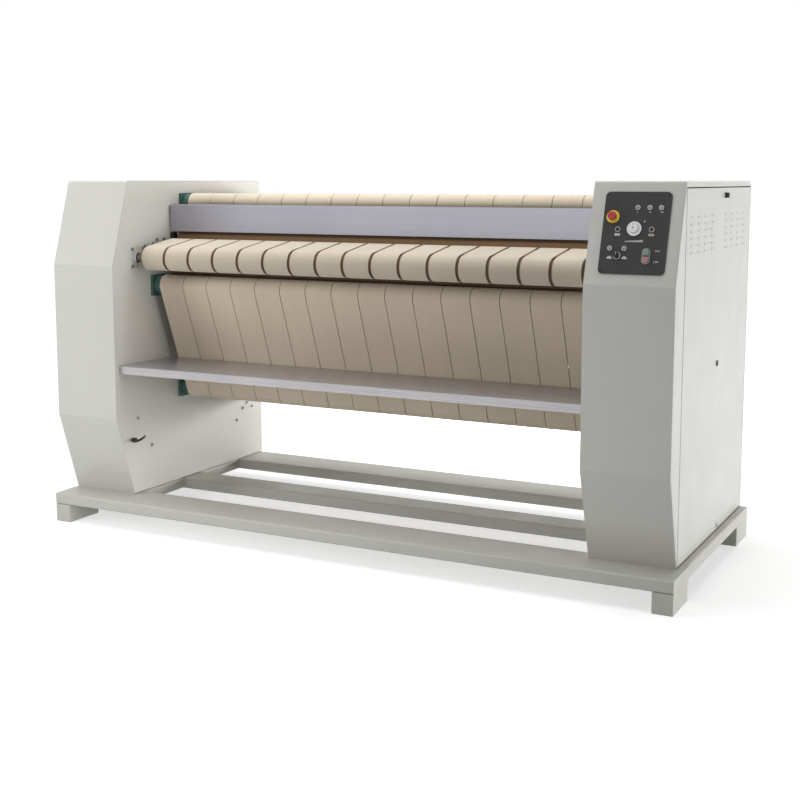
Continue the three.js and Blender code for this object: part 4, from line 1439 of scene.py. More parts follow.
    def _bolts(self) -> BMesh:
        """Makes what stands on the plate's inner face.

        Returns:
            The bolt heads and a collar as one mesh.
        """
        y, z = axis_of("heated_cylinder")
        span = 2 * self.main_bolt
        spots = [*self._flange_bolts(), *self.plain_bolts]
        spots += [(y + a, z + b) for a, b in rectangle(span, span)]
        if self.side is Side.LEFT:
            spots.append(TensionLever.pivot)
        collar = self._hub(0.0165, 0.024, 0.006)
        place(collar, self._spot(*axis_of("feed_front_roller"), 0, -self.way))
        return gather(collar, copies(bolt(0.013, 0.0045), [self._spot(y, z, 0, -self.way) for y, z in spots]))


# ---------------------------------------------------------------- rolls and belts


@dataclass
class Pulley:
    """A roll that a belt runs over, in the Y-Z plane. turn is -1 where the belt passes outside it."""

    y: float
    z: float
    radius: float
    turn: int = 1

    @staticmethod
    def of(node: str, slack: float, turn: int = 1) -> "Pulley":
        """A node's roll, with the slack between its face and the belt."""
        low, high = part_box(node)
        return Pulley(*axis_of(node), (high.z - low.z) / 2 + slack, turn)

    def heading_to(self, other: "Pulley") -> float:
        """The heading of the straight run to the next pulley.

        Args:
            other: The next pulley.

        Returns:
            The heading as an angle in the Y-Z plane.
        """
        reach = Vector((other.y - self.y, other.z - self.z))
        across = other.turn * other.radius - self.turn * self.radius
        return math.atan2(reach.y, reach.x) - math.asin(across / reach.length)

    def touch(self, heading: float, out: float) -> Vector:
        """Where a run with a heading meets the roll, moved outwards by a distance."""
        reach = self.turn * self.radius + out
        return Vector((0, self.y + reach * math.sin(heading), self.z - reach * math.cos(heading)))


def belt_skin(pulleys: Sequence[Pulley], out: float, ends: tuple[float, float]) -> BMesh:
    """The outer skin of an endless belt, swept round its rolls.

    Args:
        pulleys: The rolls in the belt's order.
        out: How far the skin lies outside the pulleys' radius.
        ends: The X of the belt's two edges.

    Returns:
        The skin as a mesh, closed on itself.
    """
    headings = [a.heading_to(b) for a, b in zip(pulleys, [*pulleys[1:], pulleys[0]])]
    bm = bmesh.new()
    start = pulleys[0].touch(headings[-1], out)
    verts = [bm.verts.new((x, start.y, start.z)) for x in ends]
    edge = bm.edges.new(verts)
    for k, pulley in enumerate(pulleys):
        sweep = (headings[k] - headings[k - 1]) % (pulley.turn * TURN)
        step = math.radians(6 if pulley.radius < 0.1 else 2.5)
        steps = max(2, round(abs(sweep) / step))
        made = bmesh.ops.spin(
            bm, geom=[edge], cent=(0, pulley.y, pulley.z), axis=(1, 0, 0), angle=sweep, steps=steps
        )
        edge = next(item for item in made["geom_last"] if isinstance(item, BMEdge))
        following = pulleys[(k + 1) % len(pulleys)]
        way = following.touch(headings[k], out) - pulley.touch(headings[k], out)
        pulled = bmesh.ops.extrude_edge_only(bm, edges=[edge])
        bmesh.ops.translate(bm, vec=way, verts=new_verts(pulled))
        far = set(new_verts(pulled))
        edges = [item for item in pulled["geom"] if isinstance(item, BMEdge)]
        edge = next(item for item in edges if far.issuperset(item.verts))
    bmesh.ops.remove_doubles(bm, verts=bm.verts, dist=MERGE)
    bmesh.ops.recalc_face_normals(bm, faces=bm.faces)
    bm.normal_update()
    top = max(bm.faces, key=lambda face: face.calc_center_median().z)
    if top.normal.z < 0:
        bmesh.ops.reverse_faces(bm, faces=bm.faces)
    return bm


@dataclass
class Rolls(SubAssembly):
    """The heated cylinder and the steel rollers, turned smooth."""

    journal: float = 0.015
    bore: float = 0.005
    bore_depth: float = 0.020
    chamfer: float = 0.002
    belt_face: float = 2.12
    feed_face: float = 2.05
    main_middle: float = -0.015
    main_journal: float = 0.045
    main_bore: float = 0.022
    shell: float = 0.008
    end_wall: float = 0.015
    dish: float = 0.006

    def build(self) -> None:
        """Turns every roll about its own axis."""
        for node in BELT_ROLLERS:
            self._roll(node, self.belt_face / 2, self.finishes.roller_green)
        for node in FEED_ROLLERS:
            self._roll(node, self.feed_face / 2, self.finishes.brown_rubber)
        self._cylinder()

    def _roll(self, node: str, half: float, finish: Finish) -> None:
        """Turns one roller: its face and the bright shaft through it.

        Args:
            node: Its node, which gives its place, radius and length.
            half: Half the length of its face.
            finish: Its face's finish.
        """
        journal, bore, c = self.journal, self.bore, self.chamfer
        low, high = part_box(node)
        spot = at(*(low + high) / 2) @ TO_X
        radius, seat = (high.z - low.z) / 2, journal + 0.0001
        outside = [(seat, half), (radius - c, half), (radius, half - c)]
        bm = turned(both_ends(outside), 56)
        self.fit(f"{node}_face", place(bm, spot), finish, node, smooth=35)
        far = (high.x - low.x) / 2
        deep = far - self.bore_depth
        outside = [(0, deep), (bore, deep), (bore, far), (journal - 0.001, far), (journal, far - 0.001)]
        bm = turned(both_ends(outside), 24)
        self.fit(f"{node}_shaft", place(bm, spot), self.finishes.steel, node, smooth=35, slot="steel")

    def _cylinder(self) -> None:
        """Turns the polished cylinder with its dished ends."""
        node = "heated_cylinder"
        low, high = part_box(node)
        radius, half = (high.z - low.z) / 2, self.feed_face / 2
        journal, bore = self.main_journal, self.main_bore

        def end(way: int, tip: float) -> list[tuple[float, float]]:
            """The outside of one end, from the bore of its journal to the edge of the shell."""
            face, dish = way * half, way * (half - self.dish)
            return [
                (bore, tip), (journal - 0.002, tip), (journal, tip - way * 0.002), (journal, face),
                (radius * 0.55, face), (radius * 0.6, dish), (radius - 0.022, dish),
                (radius - 0.018, face), (radius - 0.003, face), (radius, face - way * 0.003),
            ]

        left, right = end(-1, low.x - self.main_middle), end(1, high.x - self.main_middle)
        shell, wall = radius - self.shell, half - self.end_wall
        inside = [(bore, wall), (shell, wall), (shell, -wall), (bore, -wall)]
        bm = turned([*left, *reversed(right), *inside, left[0]], 120)
        place(bm, at(self.main_middle, *axis_of(node)) @ TO_X)
        # The dark brown finish paints in the shade of the narrow band between the guard and the feed belts.
        self.fit("heated_cylinder_turned", bm, self.finishes.burnished, node, smooth=35)


@dataclass
class IroningBelts(SubAssembly):
    """Sixteen endless felt belts: over the top, round the cylinder's back and down the front."""

    count: int = 16
    total: float = 2.050
    middle: float = -0.015
    gap: float = 0.003
    thickness: float = 0.004
    slack: float = 0.001
    lift: float = 0.002

    def build(self) -> None:
        """Sweeps each belt round the rolls."""
        held = [Pulley.of(node, self.slack) for node in BELT_ROLLERS]
        passed = Pulley.of("heated_cylinder", self.lift + self.thickness, -1)
        way = [held[0], passed, *held[1:]]
        pitch, node = self.total / self.count, "ironing_belts"
        for k in range(self.count):
            left = self.middle - self.total / 2 + k * pitch
            bm = belt_skin(way, self.thickness, (left + self.gap / 2, left + pitch - self.gap / 2))
            self.fit(f"ironing_belt_{k + 1:02d}", bm, self.finishes.belt, node, wall=self.thickness)


@dataclass
class FeedTable(SubAssembly):
    """Sixteen feed belts on two rollers, with the slider bed between their runs."""

    count: int = 16
    pitch: float = 0.128
    gap: float = 0.014
    first: float = -1.025
    thickness: float = 0.004
    slack: float = 0.0026
    bed: float = 0.004
    sink: float = 0.0006
    front_clear: float = 0.030
    rear_clear: float = 0.022
    over: float = 0.002
    rod: float = 0.006

    def build(self) -> None:
        """Sweeps each belt and lays the bed."""
        rolls, node = [Pulley.of(node, self.slack) for node in FEED_ROLLERS], "feed_belts"
        for k in range(self.count):
            left = self.first + k * self.pitch
            bm = belt_skin(rolls, self.thickness, (left, left + self.pitch - self.gap))
            self.fit(f"feed_belt_{k + 1:02d}", bm, self.finishes.feed_belt, node, wall=self.thickness)
        self._bed(*rolls)

    def _bed(self, front: Pulley, rear: Pulley) -> None:
        """Lays the sheet that carries the upper runs.

        Args:
            front: The front roller as the belts see it.
            rear: The rear roller as the belts see it.
        """
        heading = rear.heading_to(front)
        along = Vector((0, math.cos(heading), math.sin(heading)))
        back = rear.touch(heading, self.sink) + along * self.rear_clear
        nose = front.touch(heading, self.sink) - along * self.front_clear
        low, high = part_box("feed_belts")
        ends = (self.first - self.over, self.first + self.count * self.pitch - self.gap + self.over)
        bm = folded([tuple(back.yz), tuple(nose.yz)], ends, 0.001, (0, 0, 1))
        self.fit("slider_bed", bm, self.finishes.bed, "feed_belts", wall=self.bed)
        spots = [back.lerp(nose, share) - Vector((0, 0, self.bed + self.rod)) for share in (0.25, 0.75)]
        rod = disc(self.rod, high.x - low.x, 20)
        rods = copies(rod, [at(low.x, spot.y, spot.z) @ TO_X for spot in spots])
        self.fit("slider_bed_rods", rods, self.finishes.steel, "feed_belts", slot="steel")


# ---------------------------------------------------------------- guard, switch, tray and lever


@dataclass
class Guard(SubAssembly):
    """The stainless finger guard that hangs across the mouth."""

    sheet: float = 0.003
    fold: float = 0.030
    bend: float = 0.005
    ends: tuple[float, float] = (-1.078, 1.048)
    pivot: tuple[float, float] = (-0.150, 1.424)
    pin: float = 0.005
    pin_length: float = 0.027

    def build(self) -> None:
        """Folds the sheet, with its end gussets and pivot pins."""
        node = "finger_guard"
        low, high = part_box(node)
        finish = self.finishes.stainless
        back = low.y + self.sheet
        line = [(low.y, low.z), (low.y, high.z), (back + self.fold, high.z)]
        skin = folded(line, self.ends, self.bend, (0, -1, 0.3))
        self.fit("guard_sheet", skin, finish, node, wall=self.sheet, edge=0.0006)
        ears = []
        for side, end in zip(Side, self.ends):
            ears.append(block((end, back - 0.001, high.z - self.fold),
                              (end - side.way * self.sheet, back + self.fold - 0.002, high.z - 0.001)))
            spot = at(end - side.way * 0.001, *self.pivot) @ (TO_X if side.way > 0 else TO_MINUS_X)
            ears.append(place(disc(self.pin, self.pin_length, 20), spot))
        self.fit("guard_ears", gather(*ears), finish, node, edge=0.0005)


@dataclass
class Tray(SubAssembly):
    """The stainless receiving tray with its folded lip."""

    sheet: float = 0.0025
    lip: float = 0.035
    rear_fold: float = 0.015
    bend: float = 0.004
    flange: float = 0.040
    inset: float = 0.040

    def build(self) -> None:
        """Folds the tray and its two end flanges."""
        node = "tray"
        low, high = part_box(node)
        line = [(low.y, high.z - self.lip), (low.y, high.z),
                (high.y, high.z), (high.y, high.z - self.rear_fold)]
        skin = folded(line, (low.x, high.x), self.bend, (0, 0, 1))
        self.fit("tray_sheet", skin, self.finishes.tray, node, wall=self.sheet, edge=0.0005)
        flanges = [
            block((end, low.y + self.inset, high.z - self.flange),
                  (end + way * self.sheet, high.y - self.inset, high.z - self.sheet + 0.001))
            for end, way in ((low.x, 1), (high.x, -1))
        ]
        self.fit("tray_flanges", gather(*flanges), self.finishes.tray, node, edge=0.0005)


@dataclass
class LimitSwitch(SubAssembly):
    """The switch that the guard's lower edge trips, on the left frame plate."""

    body_top: float = 1.303
    lever_from: float = 0.013
    lever_width: float = 0.004
    lever_rear: float = -0.1426
    lever_front: float = -0.1444
    lever_foot: float = 1.290
    screw: float = 0.0028
    inset: float = 0.006

    def build(self) -> None:
        """Makes the moulded body with its two screws, and the spring lever."""
        node = "guard_limit_switch"
        low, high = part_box(node)
        finishes, inset = self.finishes, self.inset
        body = round_edges(block(low, (high.x, high.y, self.body_top)), 0.0015, crease(), 2)
        self.fit("switch_body", body, finishes.black, node)
        places = ((low.y + inset, low.z + inset), (high.y - inset, self.body_top - inset))
        spots = [at(high.x - 0.0002, y, z) @ TO_X for y, z in places]
        self.fit("switch_screws", copies(screw(self.screw), spots), finishes.zinc, node, slot="steel")
        x = low.x + self.lever_from
        strip = block((x, self.lever_front, self.lever_foot), (x + self.lever_width, self.lever_rear, high.z))
        round_edges(strip, 0.0016, lambda e: runs(1)(e) and borders(2, high.z)(e))
        self.fit("switch_lever", strip, finishes.black, node)


@dataclass
class TensionLever(SubAssembly):
    """The lever that tightens the ironing belts, with its knob in front of the left plate's arc slot."""

    pivot: tuple[float, float] = (-0.416, 0.474)
    reach: float = 0.103
    width: float = 0.024
    thickness: float = 0.008
    lean: float = 62.5
    stud: float = 0.005
    knob_from: float = 0.0223

    def build(self) -> None:
        """Makes the arm with its stud, and the turned knob."""
        node = "belt_tension_lever"
        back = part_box(node)[0].x
        spot = at(back, *self.pivot) @ about("X", self.lean) @ UPRIGHT
        bar = tile(self.reach + self.width, self.width, self.thickness, self.width * 0.499)
        round_edges(bar, 0.001, crease(60), 2)
        place(bar, at(-self.reach / 2, 0, 0))
        stud = place(disc(self.stud, self.knob_from + 0.001 - self.thickness, 24),
                     at(-self.reach, 0, self.thickness - 0.0005))
        finishes = self.finishes
        self.fit("lever_arm", place(gather(bar, stud), spot), finishes.black_oxide, node, slot="steel")
        knob = turned([(0, 0), (0.0075, 0), (0.0085, 0.001), (0.0085, 0.005), (0.011, 0.008), (0.011, 0.019),
                       (0.0095, 0.0214), (0.006, 0.022), (0, 0.022)], 32)
        place(knob, spot @ at(-self.reach, 0, self.knob_from))
        self.fit("lever_knob", knob, finishes.black, node, smooth=35)


@dataclass
class Drive(SubAssembly):
    """The gear motor, the chain with its sprockets, and the electrical box, inside the right cabinet."""

    axis: tuple[float, float] = (0.042, 0.750)
    barrel_x: float = 1.225
    barrel: float = 0.072
    barrel_from: float = 0.182
    cowl: float = 0.062
    fins: int = 32
    bolt_reach: float = 0.118
    flange_face: float = 1.160
    door: float = 0.016

    def build(self) -> None:
        """Dresses the motor, and finishes the chain drive and the box."""
        self.shop.paint(self.finishes.chain_steel, "drive_chain", "motor_sprocket", "cylinder_sprocket")
        self._motor()
        self._box()

    def _motor(self) -> None:
        """Puts cooling fins, the fan's cowl and the flange's bolts on the gear motor."""
        node, finishes = "gear_motor", self.finishes
        y, z = self.axis
        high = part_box(node)[1]
        cowl_from = high.y - self.cowl
        half, foot, tip = 0.0012, self.barrel - 0.004, self.barrel + 0.007
        fin = block((-half, self.barrel_from, foot), (half, cowl_from, tip))
        turns = [at(self.barrel_x, 0, z) @ about("Y", 360 * k / self.fins) for k in range(self.fins)]
        radius = self.barrel + 0.009
        cowl = turned([(0, 0), (radius - 0.001, 0), (radius, 0.001), (radius, self.cowl - 0.010),
                       (radius - 0.010, self.cowl + 0.0015), (0.030, self.cowl + 0.0015),
                       (0.030, self.cowl - 0.002), (0, self.cowl - 0.002)], 56)
        place(cowl, at(self.barrel_x, cowl_from, z) @ about("X", -90))
        bm = gather(copies(fin, turns), cowl)
        self.fit("motor_fins", bm, finishes.motor, node, replaces=False, smooth=35)
        span = 2 * self.bolt_reach
        spots = [at(self.flange_face, y + a, z + b) @ TO_X for a, b in rectangle(span, span)]
        bm = copies(bolt(0.016, 0.006), spots)
        self.fit("motor_bolts", bm, finishes.zinc, node, replaces=False, slot="steel")

    def _box(self) -> None:
        """Makes the electrical box with its door and two locks."""
        node, finishes = "electrical_box", self.finishes
        low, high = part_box(node)
        split = high.x - self.door
        case = round_edges(block(low, (split - 0.0015, *high.yz)), 0.005, crease())
        door = round_edges(block((split, *low.yz), high), 0.004, crease())
        inset = Vector((0, 0.006, 0.006))
        seal = block((split - 0.004, *(low + inset).yz), (split + 0.003, *(high - inset).yz))
        self.fit("box_sheet", gather(case, door, seal), finishes.enclosure, node)
        spots = [at(high.x - 0.0005, high.y - 0.022, z) @ TO_X for z in (low.z + 0.045, high.z - 0.045)]
        bm = copies(disc(0.011, 0.003, 28), spots)
        self.fit("box_locks", bm, finishes.black, node, slot="black_plastic")


# ---------------------------------------------------------------- small fittings


def bolt(across: float, height: float) -> BMesh:
    """A hexagon bolt head on its washer, standing on Z = 0.

    Args:
        across: Size across two opposite corners.
        height: Height of the head above the washer.

    Returns:
        The bolt head as a mesh.
    """
    rim, foot = across * 0.62, 0.0012
    washer = turned([(0, 0), (rim, 0), (rim, foot), (0, foot)], 20)
    head = place(disc(across / 2, height, 6), at(0, 0, foot))
    round_edges(head, height * 0.18, borders(2, foot + height), 2)
    return gather(washer, head)


def screw(radius: float) -> BMesh:
    """A domed screw head with a hexagon socket, standing on Z = 0."""
    shares = [(0, 0.35), (0.45, 0.35), (0.45, 0.9), (0.8, 0.75), (1, 0.3), (1, 0)]
    return turned([(radius * across, radius * up) for across, up in shares], 20)


def printed(text: str, size: float, depth: float) -> BMesh:
    """Printed characters about the origin, standing on Z = 0.

    Args:
        text: The characters.
        size: Their height.
        depth: Their thickness.

    Returns:
        The characters as a mesh.
    """
    curve = bpy.data.curves.new("characters", "FONT")
    curve.body = text
    curve.size = size
    curve.align_x = curve.align_y = "CENTER"
    curve.resolution_u = 3
    carrier = bpy.data.objects.new("characters", curve)
    data = bpy.data.meshes.new_from_object(carrier)
    bm = bmesh.new()
    bm.from_mesh(data)
    bpy.data.objects.remove(carrier)
    bpy.data.curves.remove(curve)
    bpy.data.meshes.remove(data)
    bmesh.ops.remove_doubles(bm, verts=bm.verts, dist=MERGE / 10)
    return raise_face(bm, (0, 0, depth))


# ---------------------------------------------------------------- control console


@dataclass(frozen=True)
class Spot:
    """A place on the console: X of the ironer, and the distance up the facet from its lower bend."""

    x: float
    up: float

    def moved(self, dx: float, dup: float) -> "Spot":
        """A place beside this one."""
        return Spot(self.x + dx, self.up + dup)


@dataclass
class Console(SubAssembly):
    """The control plate on the right cabinet's upper facet, with everything on it."""

    back: float = 0.0003
    face: float = 0.0033
    seat: float = 0.0036
    behind: float = -0.024
    plate_centre: Spot = Spot(1.2305, 0.194)
    plate_size: tuple[float, float] = (0.243, 0.304)
    corner: float = 0.018
    screw: float = 0.0028
    screw_inset: float = 0.010
    stem_reach: float = 0.012
    estop: Spot = Spot(1.1445, 0.252)
    dial: Spot = Spot(1.227, 0.209)
    cooler: Spot = Spot(1.1665, 0.2065)
    hotter: Spot = Spot(1.291, 0.207)
    selector: Spot = Spot(1.174, 0.109)
    twin: Spot = Spot(1.2815, 0.1085)
    lamps: tuple[tuple[str, Spot], ...] = (
        ("power", Spot(1.2325, 0.287)),
        ("heating", Spot(1.2765, 0.287)),
        ("ready", Spot(1.318, 0.287)),
        ("slow", Spot(1.145, 0.136)),
        ("fast", Spot(1.1985, 0.136)),
    )

    def build(self) -> None:
        """Makes the plate and its controls."""
        self.frame = ConsolePlace().matrix
        self._plate()
        self._emergency_stop()
        self._dial()
        self._small_buttons()
        self._lamps()
        self._selector()
        self._twin_button()
        self._print()

    def _on(self, bm: BMesh, spot: Spot, height: float = 0.0) -> BMesh:
        """Places a mesh that stands on Z = 0 about the origin on the console, at a height above the cover."""
        return place(bm, self.frame @ at(spot.x, spot.up, height))

    def _cap(self, stem: float, foot: float, line: Profile, steps: int) -> BMesh:
        """A turned cap whose profile starts at its foot, on a stem that reaches behind the plate."""
        start = [(0, self.behind), (stem, self.behind), (stem, foot)]
        return turned([*start, *((radius, foot + height) for radius, height in line)], steps)

    def _plate(self) -> None:
        """Cuts the plate, with a hole for each control."""
        holes = [(self.estop, 0.0095), (self.dial, 0.0052), (self.selector, 0.0082)]
        holes += [(self.cooler, 0.0072), (self.hotter, 0.0072)]
        holes += [(spot, 0.0068) for _, spot in self.lamps]
        holes += [(self.twin.moved(0, self.stem_reach * way), 0.0057) for way in (-1, 1)]
        (width, height), c, node = self.plate_size, self.plate_centre, "control_fascia"
        bm = place(flat(rectangle(width, height)), at(c.x, c.up, 0))
        round_corners(bm, self.corner, steps=10)
        pierce(bm, *(ring_face(radius, 20, at(spot.x, spot.up, 0)) for spot, radius in holes))
        raise_face(bm, (0, 0, self.face - self.back))
        place(bm, self.frame @ at(0, 0, self.back))
        self.fit("fascia_plate", bm, self.finishes.fascia, node, edge=0.0005)
        inset = 2 * self.screw_inset
        corners = rectangle(width - inset, height - inset)
        bm = copies(screw(self.screw), [self.frame @ at(c.x + a, c.up + b, self.face) for a, b in corners])
        self.fit("fascia_screws", bm, self.finishes.black_oxide, node, replaces=False)

    def _emergency_stop(self) -> None:
        """Turns the yellow collar and the red mushroom head."""
        bm = turned([(0.009, 0), (0.0235, 0), (0.0235, 0.0038), (0.0225, 0.0055), (0.0205, 0.006),
                     (0.0125, 0.006), (0.0115, 0.0048), (0.009, 0.0048), (0.009, 0)], 48)
        self._on(bm, self.estop, self.seat)
        self.fit("estop_collar_ring", bm, self.finishes.yellow, "estop_collar")
        line = [(0.0145, 0), (0.016, 0.0015), (0.016, 0.006), (0.0152, 0.0092), (0.013, 0.0115),
                (0.0095, 0.0128), (0.0082, 0.0128), (0.0078, 0.0122), (0.004, 0.0118), (0, 0.0117)]
        bm = self._cap(0.008, self.seat + 0.0125, line, 48)
        self.fit("estop_mushroom", self._on(bm, self.estop), self.finishes.red, "estop_button")

    def _dial(self) -> None:
        """Turns the dial: a wide skirt with a scale and a fluted knob."""
        node, low, sides, radius, height = "temperature_dial", self.seat + 0.0005, 72, 0.0186, 0.0105
        line = [(0.0262, 0), (0.027, 0.0008), (0.027, 0.0024), (0.0262, 0.0034), (0.0205, 0.0045),
                (0.0195, 0.0045), (0.019, 0.006), (radius, 0.0075), (0, 0.0075)]
        skirt = self._cap(0.004, low, line, sides)
        grip = disc(radius, height, sides)
        for vert in grip.verts:
            if round(math.atan2(vert.co.y, vert.co.x) / TURN * sides) % 2:
                vert.co.xy *= 0.962
        round_edges(grip, 0.0006, borders(2, height), 2)
        place(grip, at(0, 0, low + 0.007))
        cap = turned([(0, 0), (0.0158, 0), (0.0158, 0.0004), (0.0152, 0.0008), (0, 0.0008)], 48)
        place(cap, at(0, 0, low + 0.0172))
        bm = self._on(gather(skirt, grip, cap), self.dial)
        self.fit("dial_knob", bm, self.finishes.aluminium, node, smooth=28)
        spot = at(0, 0.0238, low + 0.0036) @ about("X", -10)
        marks = copies(tile(0.0007, 0.0028, 0.0002), [about("Z", 90 - 30 * k) @ spot for k in range(12)])
        pointer = place(tile(0.0016, 0.006, 0.0003, 0.0007), at(0, 0.0115, low + 0.018))
        hub = place(disc(0.0028, 0.0003, 20), at(0, 0, low + 0.018))
        bm = self._on(gather(marks, pointer, hub), self.dial)
        self.fit("dial_marks", bm, self.finishes.print_dark, node, replaces=False)

    def _small_buttons(self) -> None:
        """Turns the two small buttons and their chrome rings."""
        foot = -0.004
        rise = self.seat + 0.006 - foot
        line = [(0.0065, 0), (0.0065, rise - 0.001), (0.0058, rise - 0.0002), (0.0048, rise),
                (0.003, rise - 0.0004), (0, rise - 0.0006)]
        ring = [(0.0072, 0), (0.010, 0), (0.010, 0.0014), (0.0092, 0.0024), (0.008, 0.0025), (0.0072, 0.0018),
                (0.0072, 0)]
        chrome = self.finishes.chrome
        for name, spot in (("cooler", self.cooler), ("hotter", self.hotter)):
            bm = self._on(self._cap(0.004, foot, line, 32), spot)
            self.fit(f"{name}_cap", bm, self.finishes.black, f"{name}_button")
            bm = self._on(turned(ring, 32), spot, self.face)
            self.fit(f"{name}_ring", bm, chrome, "control_fascia", replaces=False, slot="chrome")

    def _lamps(self) -> None:
        """Turns each lamp's bezel and its domed lens."""
        ring = [(0.0068, 0), (0.0095, 0), (0.0095, 0.0022), (0.0088, 0.0032), (0.0074, 0.0034),
                (0.0068, 0.0026), (0.0068, 0)]
        dome = [(0.0066, 0), (0.0066, 0.0034), (0.0058, 0.0054), (0.004, 0.0068), (0.002, 0.0076),
                (0, 0.0078)]
        for name, spot in self.lamps:
            node = f"lamp_{name}"
            bm = self._on(turned(ring, 32), spot, self.seat)
            self.fit(f"{node}_bezel", bm, self.finishes.chrome, node, slot="chrome")
            bm = self._on(self._cap(0.006, self.seat, dome, 32), spot)
            self.fit(f"{node}_lens", bm, self.finishes.lamp, node)

    def _selector(self) -> None:
        """Makes the selector's bezel and its handle."""
        low, rise, node = self.seat, 0.0086, "selector_knob"
        bm = turned([(0.008, 0), (0.014, 0), (0.014, 0.0022), (0.0132, 0.0034), (0.011, 0.0038),
                     (0.0095, 0.0034), (0.008, 0.0034), (0.008, 0)], 40)
        self.fit("selector_ring", self._on(bm, self.selector, low), self.finishes.chrome, "selector_bezel")
        line = [(0.0118, 0), (0.0118, 0.0036), (0.011, 0.0044), (0, 0.0044)]
        shank = self._cap(0.007, low + 0.0042, line, 36)
        handle = round_edges(tile(0.0076, 0.0256, rise, 0.0034), 0.0011, borders(2, rise))
        place(handle, at(0, 0, low + 0.0084))
        bm = self._on(gather(shank, handle), self.selector)
        self.fit("selector_handle", bm, self.finishes.black, node)
        bm = place(tile(0.0012, 0.010, 0.0002), at(0, 0.006, low + 0.017))
        self._on(bm, self.selector)
        self.fit("selector_line", bm, self.finishes.print_white, node, replaces=False)

    def _twin_button(self) -> None:
        """Makes the oval bezel and its two caps."""
        bezel = round_corners(flat(rectangle(0.030, 0.058)), 0.0145, steps=10)
        rim = bmesh.ops.inset_region(
            bezel, faces=bezel.faces[:], thickness=0.0048, use_boundary=True, use_even_offset=True
        )
        core = [face for face in bezel.faces if face not in rim["faces"]]
        bmesh.ops.delete(bezel, geom=core, context="FACES")
        self._on(raise_face(bezel, (0, 0, 0.0075)), self.twin, self.seat)
        self.fit("twin_bezel", bezel, self.finishes.grey_trim, "twin_button_bezel", edge=0.0012)
        self._twin_cap("start", 1, self.finishes.start_green)
        self._twin_cap("stop", -1, self.finishes.stop_red)

    def _twin_cap(self, name: str, way: int, finish: Finish) -> None:
        """Makes one half of the twin button.

        Args:
            name: start or stop.
            way: 1 for the upper half and -1 for the lower half.
            finish: Its finish.
        """
        node = f"{name}_button"
        low, high = self._local_box(node)
        half = (high.x - low.x) / 2
        near, far = sorted((low.y * way, high.y * way))
        cap = flat([(-half, near), (half, near), (half, far), (-half, far)])
        round_corners(cap, half * 0.96, lambda spot: spot.y > (near + far) / 2, 10)
        raise_face(cap, (0, 0, high.z - low.z))
        round_edges(cap, 0.0012, borders(2, high.z - low.z))
        place(cap, at(0, 0, low.z))
        stem = disc(0.005, low.z - self.behind + 0.001, 20)
        place(stem, at(0, self.stem_reach, self.behind))
        both = place(gather(cap, stem), about("Z", 0 if way > 0 else 180))
        self.fit(f"{name}_cap", self._on(both, self.twin), finish, node)

    def _local_box(self, node: str) -> tuple[Vector, Vector]:
        """A node's box on the twin button's own axes, without its stem.

        Args:
            node: The node's name.

        Returns:
            The box's lower and upper corners.
        """
        back = (self.frame @ at(self.twin.x, self.twin.up, 0)).inverted()
        spots = [back @ vert.co for vert in self.shop.ironer.frame["nodes"][node].data.vertices]
        spots = [spot for spot in spots if spot.z > 0]
        low = Vector(min(spot[k] for spot in spots) for k in range(3))
        high = Vector(max(spot[k] for spot in spots) for k in range(3))
        return low, high

    def _print(self) -> None:
        """Prints the plain marks beside the controls."""
        thin, height = 0.00015, self.face
        white, rose, dark = [], [], []

        def mark(pile: list[BMesh], shape: BMesh, spot: Spot, lift: float = 0) -> None:
            """Adds a printed shape to a pile."""
            pile.append(self._on(shape, spot, height + lift))

        for button, pile, plus in ((self.cooler, white, False), (self.hotter, rose, True)):
            spot = button.moved(0, -0.0193)
            mark(pile, tile(0.020, 0.0088, thin, 0.001), spot)
            mark(dark, tile(0.006, 0.0012, thin), spot, thin)
            if plus:
                mark(dark, tile(0.0012, 0.006, thin), spot, thin)
        for k in range(11):
            tall = 0.0035 + 0.0005 * k
            mark(white, tile(0.0042, tall, thin), Spot(1.2 + 0.006 * k, 0.1605 + tall / 2))
        mark(white, slab([(-0.003, -0.003), (0.0045, 0.0005), (-0.0005, 0.0045)], thin), Spot(1.262, 0.2356))
        for k, (_, spot) in enumerate(self.lamps[:3]):
            mark(white, tile(0.0018, 0.0058, thin), spot.moved(0, -0.0155))
            for n in range(k):
                mark(white, tile(0.0018, 0.0058, thin), spot.moved(0.0034 * (n + 1), -0.0155))
        for way in (-1, 1):
            spot = self.selector.moved(0.0275 * way, -0.0085)
            mark(white, tile(0.020, 0.0052, thin, 0.001), spot)
            mark(white, tile(0.012, 0.0034, thin, 0.001), spot.moved(0, 0.0048))
        for spot, text in ((Spot(1.3190, 0.1290), "ON"), (Spot(1.3180, 0.0890), "OFF")):
            mark(white, printed(text, 0.0105, thin), spot)
        for tone, pile in (("white", white), ("rose", rose), ("dark", dark)):
            finish = getattr(self.finishes, f"print_{tone}")
            self.fit(f"console_print_{tone}", gather(*pile), finish, "control_fascia", replaces=False)

# ---------------------------------------------------------------- studio


@dataclass(frozen=True)
class SoftBox:
    """A rectangular soft lamp that faces a point."""

    label: str
    spot: tuple[float, float, float]
    aim: tuple[float, float, float]
    width: float
    height: float
    power: float

    def hang(self) -> None:
        """Makes the lamp."""
        data = bpy.data.lights.new(self.label, "AREA")
        data.shape = "RECTANGLE"
        data.size, data.size_y = self.width, self.height
        data.energy = self.power
        lamp = bpy.data.objects.new(self.label, data)
        lamp.location = self.spot
        lamp.rotation_euler = (Vector(self.aim) - Vector(self.spot)).to_track_quat("-Z", "Y").to_euler()
        lamp.visible_glossy = lamp.visible_camera = False
        bpy.context.scene.collection.objects.link(lamp)


